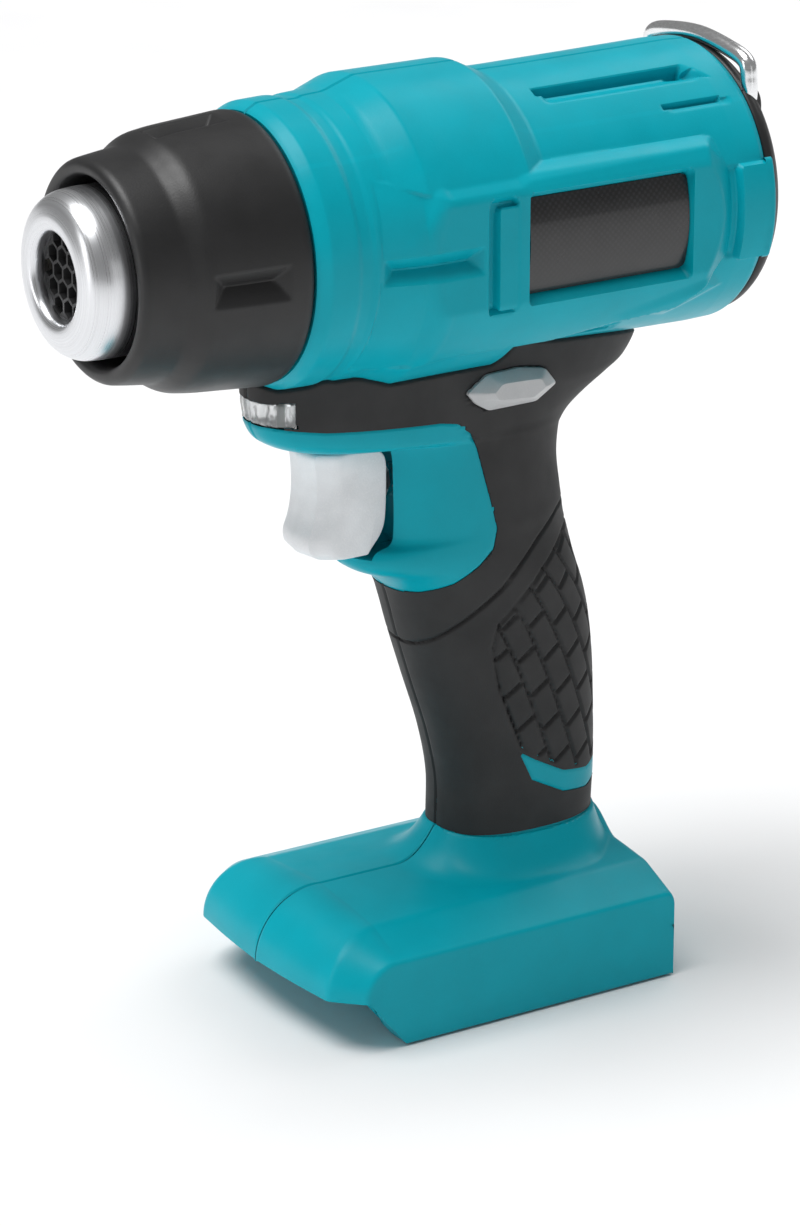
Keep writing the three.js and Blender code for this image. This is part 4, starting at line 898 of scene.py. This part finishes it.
def foot_wall(side):
    """Outer side wall below the roll axis."""
    z = np.concatenate([[0, 0.25, 0.6], np.linspace(1.2, ROLL[1], 12)])
    inset = np.array([0.6, 0.18, 0] + [0] * 12)
    share = np.linspace(0, 1, 60)
    y = front_edge(z)[:, None] + (FOOT_REAR - front_edge(z)[:, None]) * share
    x = np.full_like(y, HALF_FOOT) - inset[:, None]
    return surface(np.stack([side * x, y, z[:, None] + 0 * y], -1))


def foot_inside(side, front_ring):
    """Battery slot: rail, inner wall and roof, the slanted front edge and the slot's rear wall."""
    rail, wall, roof = 29.5, 33.0, 14.0
    section = fillet([
        (HALF_FOOT - 0.6, 0), (rail, 0), (rail, 3.6), (wall, 3.6), (wall, roof), (PARTING, roof),
    ], [0, 0.5, 0.5, 0.6, 1.0, 0], 4)
    slot_end = FOOT_REAR - 4
    ends = [front_edge(section[:, 1]), np.full(len(section), slot_end)]
    ends[1][section[:, 1] < 0.02] = FOOT_REAR
    share = np.linspace(0, 1, 24)[:, None]
    y = ends[0] + (ends[1] - ends[0]) * share
    slot = surface(np.stack([side * section[:, 0] + 0 * y, y, section[:, 1] + 0 * y], -1))

    outer_z = np.linspace(0, ROLL[1], 14)
    outer = np.column_stack([np.full(14, HALF_FOOT), front_edge(outer_z), outer_z])
    under = front_ring.copy()
    under[:, 0] = np.abs(under[:, 0])
    lip = np.vstack([outer[:-1], under])
    inner = np.column_stack([section[:, 0], front_edge(section[:, 1]), section[:, 1]])
    count = 120
    strip = np.stack([resampled(lip, count), resampled(inner, count)])
    strip[..., 0] *= side

    across = side * np.array([PARTING, wall, wall, PARTING])
    rear = np.column_stack([across, np.full(4, slot_end), [0, 0, roof, roof]])
    floor = np.column_stack([across, [slot_end, slot_end, FOOT_REAR, FOOT_REAR], np.zeros(4)])
    quad = [[0, 1, 2, 3]]
    return joined(slot, surface(strip), (rear, quad), (floor, quad))


# ---------- front ----------
COLLAR = [  # radius and y
    (21.8, -60), (21.8, -80.4), (22.6, -82.4), (24.6, -82.5), (25.9, -81.2), (26.4, -78), (27.2, -71.6),
    (27.9, -70.2), (29.9, -67.2), (30.7, -62), (31.6, -50), (32.1, -43.6), (31.6, -42), (28.6, -42),
    (28.5, -50),
]
GRIP_NOTCH = {"y": (-66.8, -47.8), "top": 3.9, "bottom": -3.9, "root": 0.6, "depth": 2.8}


def twist_collar():
    spacing = 0.45
    line = fillet(COLLAR, [0, 1, 0.8, 1, 2, 3, 1.4, 1.4, 2.5, 4, 6, 0.8, 0.6, 0, 0], 6)
    outer = resampled(line, round(line_length(line)[-1] / spacing))
    angle = np.linspace(0, 2 * math.pi, 420, endpoint=False)
    r, y = outer[:, :1] + 0 * angle, outer[:, 1:] + 0 * angle
    around = (angle + math.pi / 4) % (math.pi / 2) - math.pi / 4
    faces_out = (outer[:, 0] > 26.5)[:, None]
    r = r - hip_notch(y, around * 30, GRIP_NOTCH) * faces_out
    points = np.stack([r * np.cos(angle), y, AXIS + r * np.sin(angle)], -1)
    return surface(points, wrap=True)


def steel_outlet():
    tip = -92.2
    line = fillet([
        (10.9, tip + 6), (10.3, tip + 3.6), (10.6, tip + 0.9), (13.2, tip), (17.4, tip + 1.4),
        (19.4, tip + 4.6), (19.8, tip + 9), (19.8, -58), (18.9, -58), (18.9, tip + 9), (17, tip + 4),
        (11.2, tip + 2), (10.9, tip + 6),
    ], [0, 1.2, 1.4, 2.2, 2.6, 2.6, 2, 0, 0, 1, 1, 0.5, 0], 8)
    return lathe(line, 160)


# ---------- rear ----------
def rear_cap():
    rim = fillet([
        (31, 82.4), (32.9, 82.5), (33.2, 84.2), (31.9, 86.2), (28.8, 88.4), (24.6, 90.2), (20.6, 90.9),
        (19.8, 90.3), (19.8, 87.5),
    ], [0, 0.6, 1.4, 2.5, 3, 3, 0.6, 0.3, 0], 6)
    parts = [lathe(rim, 144)]
    for low in (-18.6, -13.8, -8.8, -3.8, 1.2, 6.2, 11.2, 16.2):
        high = low + (2.6 if abs(low) < 16 else 2.4)
        half = math.sqrt(max(0, 20.6 ** 2 - min(abs(low), abs(high)) ** 2))
        outline = fillet([(low, 88), (low, 90.4), (high, 90.4), (high, 88)], [0, 0.4, 0.4, 0], 4)
        bar = [np.column_stack([np.full(len(outline), x), outline[:, 1], AXIS + outline[:, 0]])
               for x in np.linspace(-half, half, 9)]
        parts.append(loft(bar))
    for side in (1, -1):
        parts.append(hook_lug(side))
    return joined(*parts)


def hook_lug(side):
    """The shoulder of the cap that one end of the hook turns in."""
    outline = fillet([(81.8, 207.2), (88.6, 207.2), (88.6, 214.5), (87, 217.6), (81.8, 217.6)],
                     [0.4, 1.6, 2.4, 1.6, 0.4], 5, closed=True)
    return plate(outline, 14.2, 21.2, 0.6, lambda p: p[..., [2, 0, 1]] * (side, 1, 1))


def hanging_hook():
    """The hook's wire, inside the frame's own box for it."""
    wire = 2.05
    y, z = 85, hook_low.z + wire
    span, rise = hook_high.x - wire, hook_high.z - hook_low.z - 2 * wire
    half = [
        (span - 4.2, z), (span - 1.2, z + 0.2), (span, z + 2.2), (span - 0.1, z + rise * 0.5),
        (span * 0.93, z + rise * 0.78), (span * 0.6, z + rise - 1.2),
    ]
    loop = half + [(0, z + rise)] + [(-x, h) for x, h in reversed(half)]
    return sweep(smooth_line([(x, y, h) for x, h in loop], 12), wire)


# ---------- trigger, lock and lamp ----------
TRIGGER_SIDE = [
    (-28.6, 140.8), (-27.9, 136), (-27.7, 130), (-28.6, 124), (-30.4, 119.6), (-29.8, 116.4),
    (-27.2, 114.6), (-14.5, 114.6), (-9.6, 120), (-9, 128), (-9, 140.8),
]
TRIGGER_ROUNDING = [2, 4, 6, 5, 3, 2.4, 3, 4, 4, 4, 5]
TRIGGER_PLAN = [(0, 0), (6.0, 1.2), (9, 6)]  # how far the finger face falls back towards the sides


def trigger_shape():
    """The trigger: a hollowed finger face that falls away in a facet at each side."""
    outline = fillet(TRIGGER_SIDE, TRIGGER_ROUNDING, 9, closed=True)
    middle = (outline.max(0) + outline.min(0)) / 2
    size = (outline.max(0) - outline.min(0)) / 2
    front = smoothstep((-12 - outline[:, 0]) / 10)
    half = [(x, 0) for x in (0, 1.5, 3, 4.5, 5.8, 6.0, 6.2, 7, 8)] + [(8.5, 0.08), (8.8, 0.3), (9, 0.8)]
    rings = []
    for x, inset in [(-x, inset) for x, inset in reversed(half[1:])] + half:
        ring = middle + (outline - middle) * (1 - inset / size)
        ring[:, 0] += np.interp(abs(x), *zip(*TRIGGER_PLAN)) * front
        rings.append(np.column_stack([np.full(len(ring), x), ring]))
    return loft(rings)


def lock_shape():
    """The lock button: a bar through the saddle whose proud end has a slanted ridge."""
    low, high = lock_low.x, lock_high.x
    outline = fillet(LOCK, 0.8, 4, closed=True)
    middle = outline.mean(0)
    crown = fillet(CROWN, 0.8, 4, closed=True)
    spread = np.arctan2(crown[:, 1] - middle[1], crown[:, 0] - middle[0])
    want = np.arctan2(outline[:, 1] - middle[1], outline[:, 0] - middle[0])
    order = np.argsort(spread)
    crown = np.column_stack([
        np.interp(want, spread[order], crown[order, k], period=2 * math.pi) for k in (0, 1)])
    stages = [
        (low, 0.9), (low + 0.6, 0.98), (low + 1, 1), (high - 4.4, 1), (high - 3.2, 1), (high - 2.9, 0.97)]
    rings = [np.column_stack([np.full(len(outline), x), middle + (outline - middle) * s]) for x, s in stages]
    rings.append(np.column_stack([np.full(len(crown), high - 0.5), lerp(outline, crown, 0.86)]))
    rings.append(np.column_stack([high - 0.25 + 0 * crown[:, 0], crown]))
    rings.append(np.column_stack([high + 0 * crown[:, 0], middle + (crown - middle) * 0.93]))
    return loft(rings)


def lamp_shape():
    """Clear faceted lens in the nose, with a flat back."""
    low, high = LAMP["middle"] - 3, LAMP["middle"] + 3
    reach, half, edge_radius = LAMP["half_width"], 17.4, 0.7
    rear, back = 62, -36.6
    rings = []
    for z in np.linspace(low, high, 19):
        front = np.interp(z, [144, 149, 154, 162], [-38, -41.2, -42, -42])
        x = np.linspace(-reach, reach, 61)
        along = (1 - np.abs(x / half) ** ROUNDNESS) ** (1 / ROUNDNESS)
        y = (front + rear) / 2 + (front - rear) / 2 * along
        edge = min(z - low, high - z)
        y = y + edge_radius * (1 - math.sqrt(1 - max(0, 1 - edge / edge_radius) ** 2))
        y = np.minimum(y + 0.5 * np.abs((x / 2.9 % 1) - 0.5), back + 1.6)
        behind = np.where(np.abs(x) < 5.5, back, back + 2)
        ring = np.vstack([np.column_stack([x, y]), np.column_stack([x, behind])[::-1]])
        rings.append(np.column_stack([ring, np.full(len(ring), z)]))
    return loft(rings)


def lamp_reflector():
    """Bright cup with the light behind the lens."""
    profile = fillet([(0.2, 1.6), (1.3, 1.6), (1.3, 0.4), (2.2, 0.2), (4, -2.2), (4.4, -2.2)],
                     [0, 0.2, 0.2, 0.6, 0.2, 0], 4)
    angle = np.linspace(0, 2 * math.pi, 48, endpoint=False)
    r, d = profile[:, :1], profile[:, 1:]
    points = np.stack([r * np.cos(angle), -34.2 + d + 0 * angle, LAMP["middle"] + r * np.sin(angle)], -1)
    return surface(points, wrap=True)


def nameplate_shape(side):
    """Curved label plate with rounded corners."""
    low, high = plate_low, plate_high
    y0, y1 = low.y - SHIFT + 0.2, high.y - SHIFT - 0.2
    h0, h1 = low.z - AXIS, high.z - AXIS
    thickness = 0.7
    rows = []
    for h in np.linspace(h0, h1, 40):
        rows.append([(y, h) for y in np.linspace(*rounded_edge(y0, y1, h0, h1, h), 60)])
    rows = np.array(rows)
    x = np.sqrt(high.x ** 2 - rows[..., 1] ** 2)
    top = np.stack([side * x, rows[..., 0], AXIS + rows[..., 1]], -1)
    ids = np.arange(top[..., 0].size).reshape(top.shape[:2])
    faces = grid_faces(*ids.shape)
    under = [[i + ids.size for i in reversed(face)] for face in faces]
    rim = np.concatenate([ids[0], ids[1:, -1], ids[-1, -2::-1], ids[-2:0:-1, 0]])
    walls = np.stack([rim, np.roll(rim, -1), np.roll(rim, -1) + ids.size, rim + ids.size], -1).tolist()
    points = np.vstack([top.reshape(-1, 3), top.reshape(-1, 3) - (side * thickness, 0, 0)])
    return points, faces + under + walls


def rounded_edge(y0, y1, h0, h1, h, radius=1.4):
    """Ends of one row of a rectangle with rounded corners."""
    over = max(0, h0 + radius - h, h - (h1 - radius))
    inset = radius - math.sqrt(max(0, radius ** 2 - over ** 2))
    return y0 + inset, y1 - inset


def build():
    for name, side in SIDES.items():
        shell, skin = f"housing_{name}", f"grip_skin_{name}"
        piece(f"barrel_shell_{name}", barrel_half(side), shell, "teal_shell")
        piece(f"rear_bumper_{name}", rear_bumper(side), shell, "teal_shell")
        piece(f"grip_shell_{name}", grip_surface(side, soft=False), shell, "teal_shell")
        piece(f"foot_shell_{name}", foot_half(side), shell, "teal_shell")
        piece(f"grip_overmould_{name}", grip_surface(side, soft=True), skin, "soft_grip", sharp=45)
        piece(f"label_plate_{name}", nameplate_shape(side), f"nameplate_{name}", "nameplate")
    piece("collar_ring", twist_collar(), "twist_collar", "dark_plastic", body="twist_collar")
    piece("outlet_tube", steel_outlet(), "steel_outlet", "outlet_steel")
    piece("cap_dome", rear_cap(), "rear_cap", "dark_plastic")
    piece("hook_wire", hanging_hook(), "hanging_hook", "bright_steel", body="hook")
    piece("trigger_blade", trigger_shape(), "trigger", "trigger_plastic", body="trigger", sharp=25)
    piece("lock_bar", lock_shape(), "lock_button", "lock_plastic", body="lock", sharp=24)
    piece("lens_clear", lamp_shape(), "lamp_lens", "lens", sharp=40)
    piece("lamp_reflector", lamp_reflector(), "lamp_lens", "bright_steel")


def dress_frame():
    """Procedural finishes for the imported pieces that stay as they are."""
    for row in frame["record"]["subparts"]:
        obj = frame["nodes"][row["node"]]
        obj.data.materials.clear()
        obj.data.materials.append(MATERIALS[row["material_slot"]])


# ---------- stage ----------
CAMERA_PLACE = (888.4, -552.9 + SHIFT, 475.5)
AZIMUTH, ELEVATION = 58.1, 20.0  # degrees, seen from the object
LENS = 135.55
FLOOR_REACH = 9  # metres from the middle to each edge
FLOOR_HEIGHT = -0.0004  # metres


def camera():
    data = bpy.data.cameras.new("camera")
    data.sensor_width = 36
    data.lens = LENS
    data.clip_end = 20
    azimuth, elevation = math.radians(AZIMUTH), math.radians(ELEVATION)
    level = math.cos(elevation)
    view = (-math.sin(azimuth) * level, math.cos(azimuth) * level, -math.sin(elevation))
    obj = placed("camera", data, view)
    obj.location = Vector(CAMERA_PLACE) * MM
    bpy.context.scene.camera = obj


def floor():
    """A pale floor under the tool, with a faint satin mottle."""
    m = Nodes("pale_floor", 0.75)
    tint = m.blend(m.spread(m.noise(120, 3), 0, 1), (0.86, 0.86, 0.865), (0.89, 0.89, 0.895))
    m.bump(m.noise(1.5, 3), 0.1, 0.05)
    material = m.finish(tint, m.spread(m.noise(60, 3), 0.7, 0.8))
    mesh = bpy.data.meshes.new("floor")
    corner_signs = ((-1, -1), (1, -1), (1, 1), (-1, 1))
    square = [(x * FLOOR_REACH, y * FLOOR_REACH, FLOOR_HEIGHT) for x, y in corner_signs]
    mesh.from_pydata(square, [], [[0, 1, 2, 3]])
    mesh.materials.append(material)
    placed("floor", mesh)


def area_light(name, place, size, power):
    """A panel that looks at the object's middle; lengths in metres."""
    aim = (0, 0, 0.15)
    data = bpy.data.lights.new(name, "AREA")
    data.shape = "RECTANGLE"
    data.size, data.size_y = size
    data.energy = power
    placed(name, data, Vector(aim) - Vector(place)).location = place


def sun_light(name, towards, strength, spread):
    data = bpy.data.lights.new(name, "SUN")
    data.energy = strength
    data.angle = math.radians(spread)
    placed(name, data, towards)


def lights():
    sun_light("ceiling", (0.1, 0.32, -1), 2.85, 40)
    area_light("front_left", (-0.1, -1.3, 0.5), (0.3, 0.8), 2.2)
    area_light("rear_top", (-0.2, 0.8, 0.9), (0.9, 0.5), 2.5)
    area_light("side_fill", (1.5, 0.3, 0.5), (0.4, 0.8), 0.5)
    world = bpy.data.worlds.new("studio")
    bpy.context.scene.world = world
    world.use_nodes = True
    background = world.node_tree.nodes["Background"]
    background.inputs["Color"].default_value = (1, 1, 1, 1)
    background.inputs["Strength"].default_value = 0.24
    bpy.context.scene.view_settings.view_transform = "Standard"


camera()
dress_frame()
build()
floor()
lights()
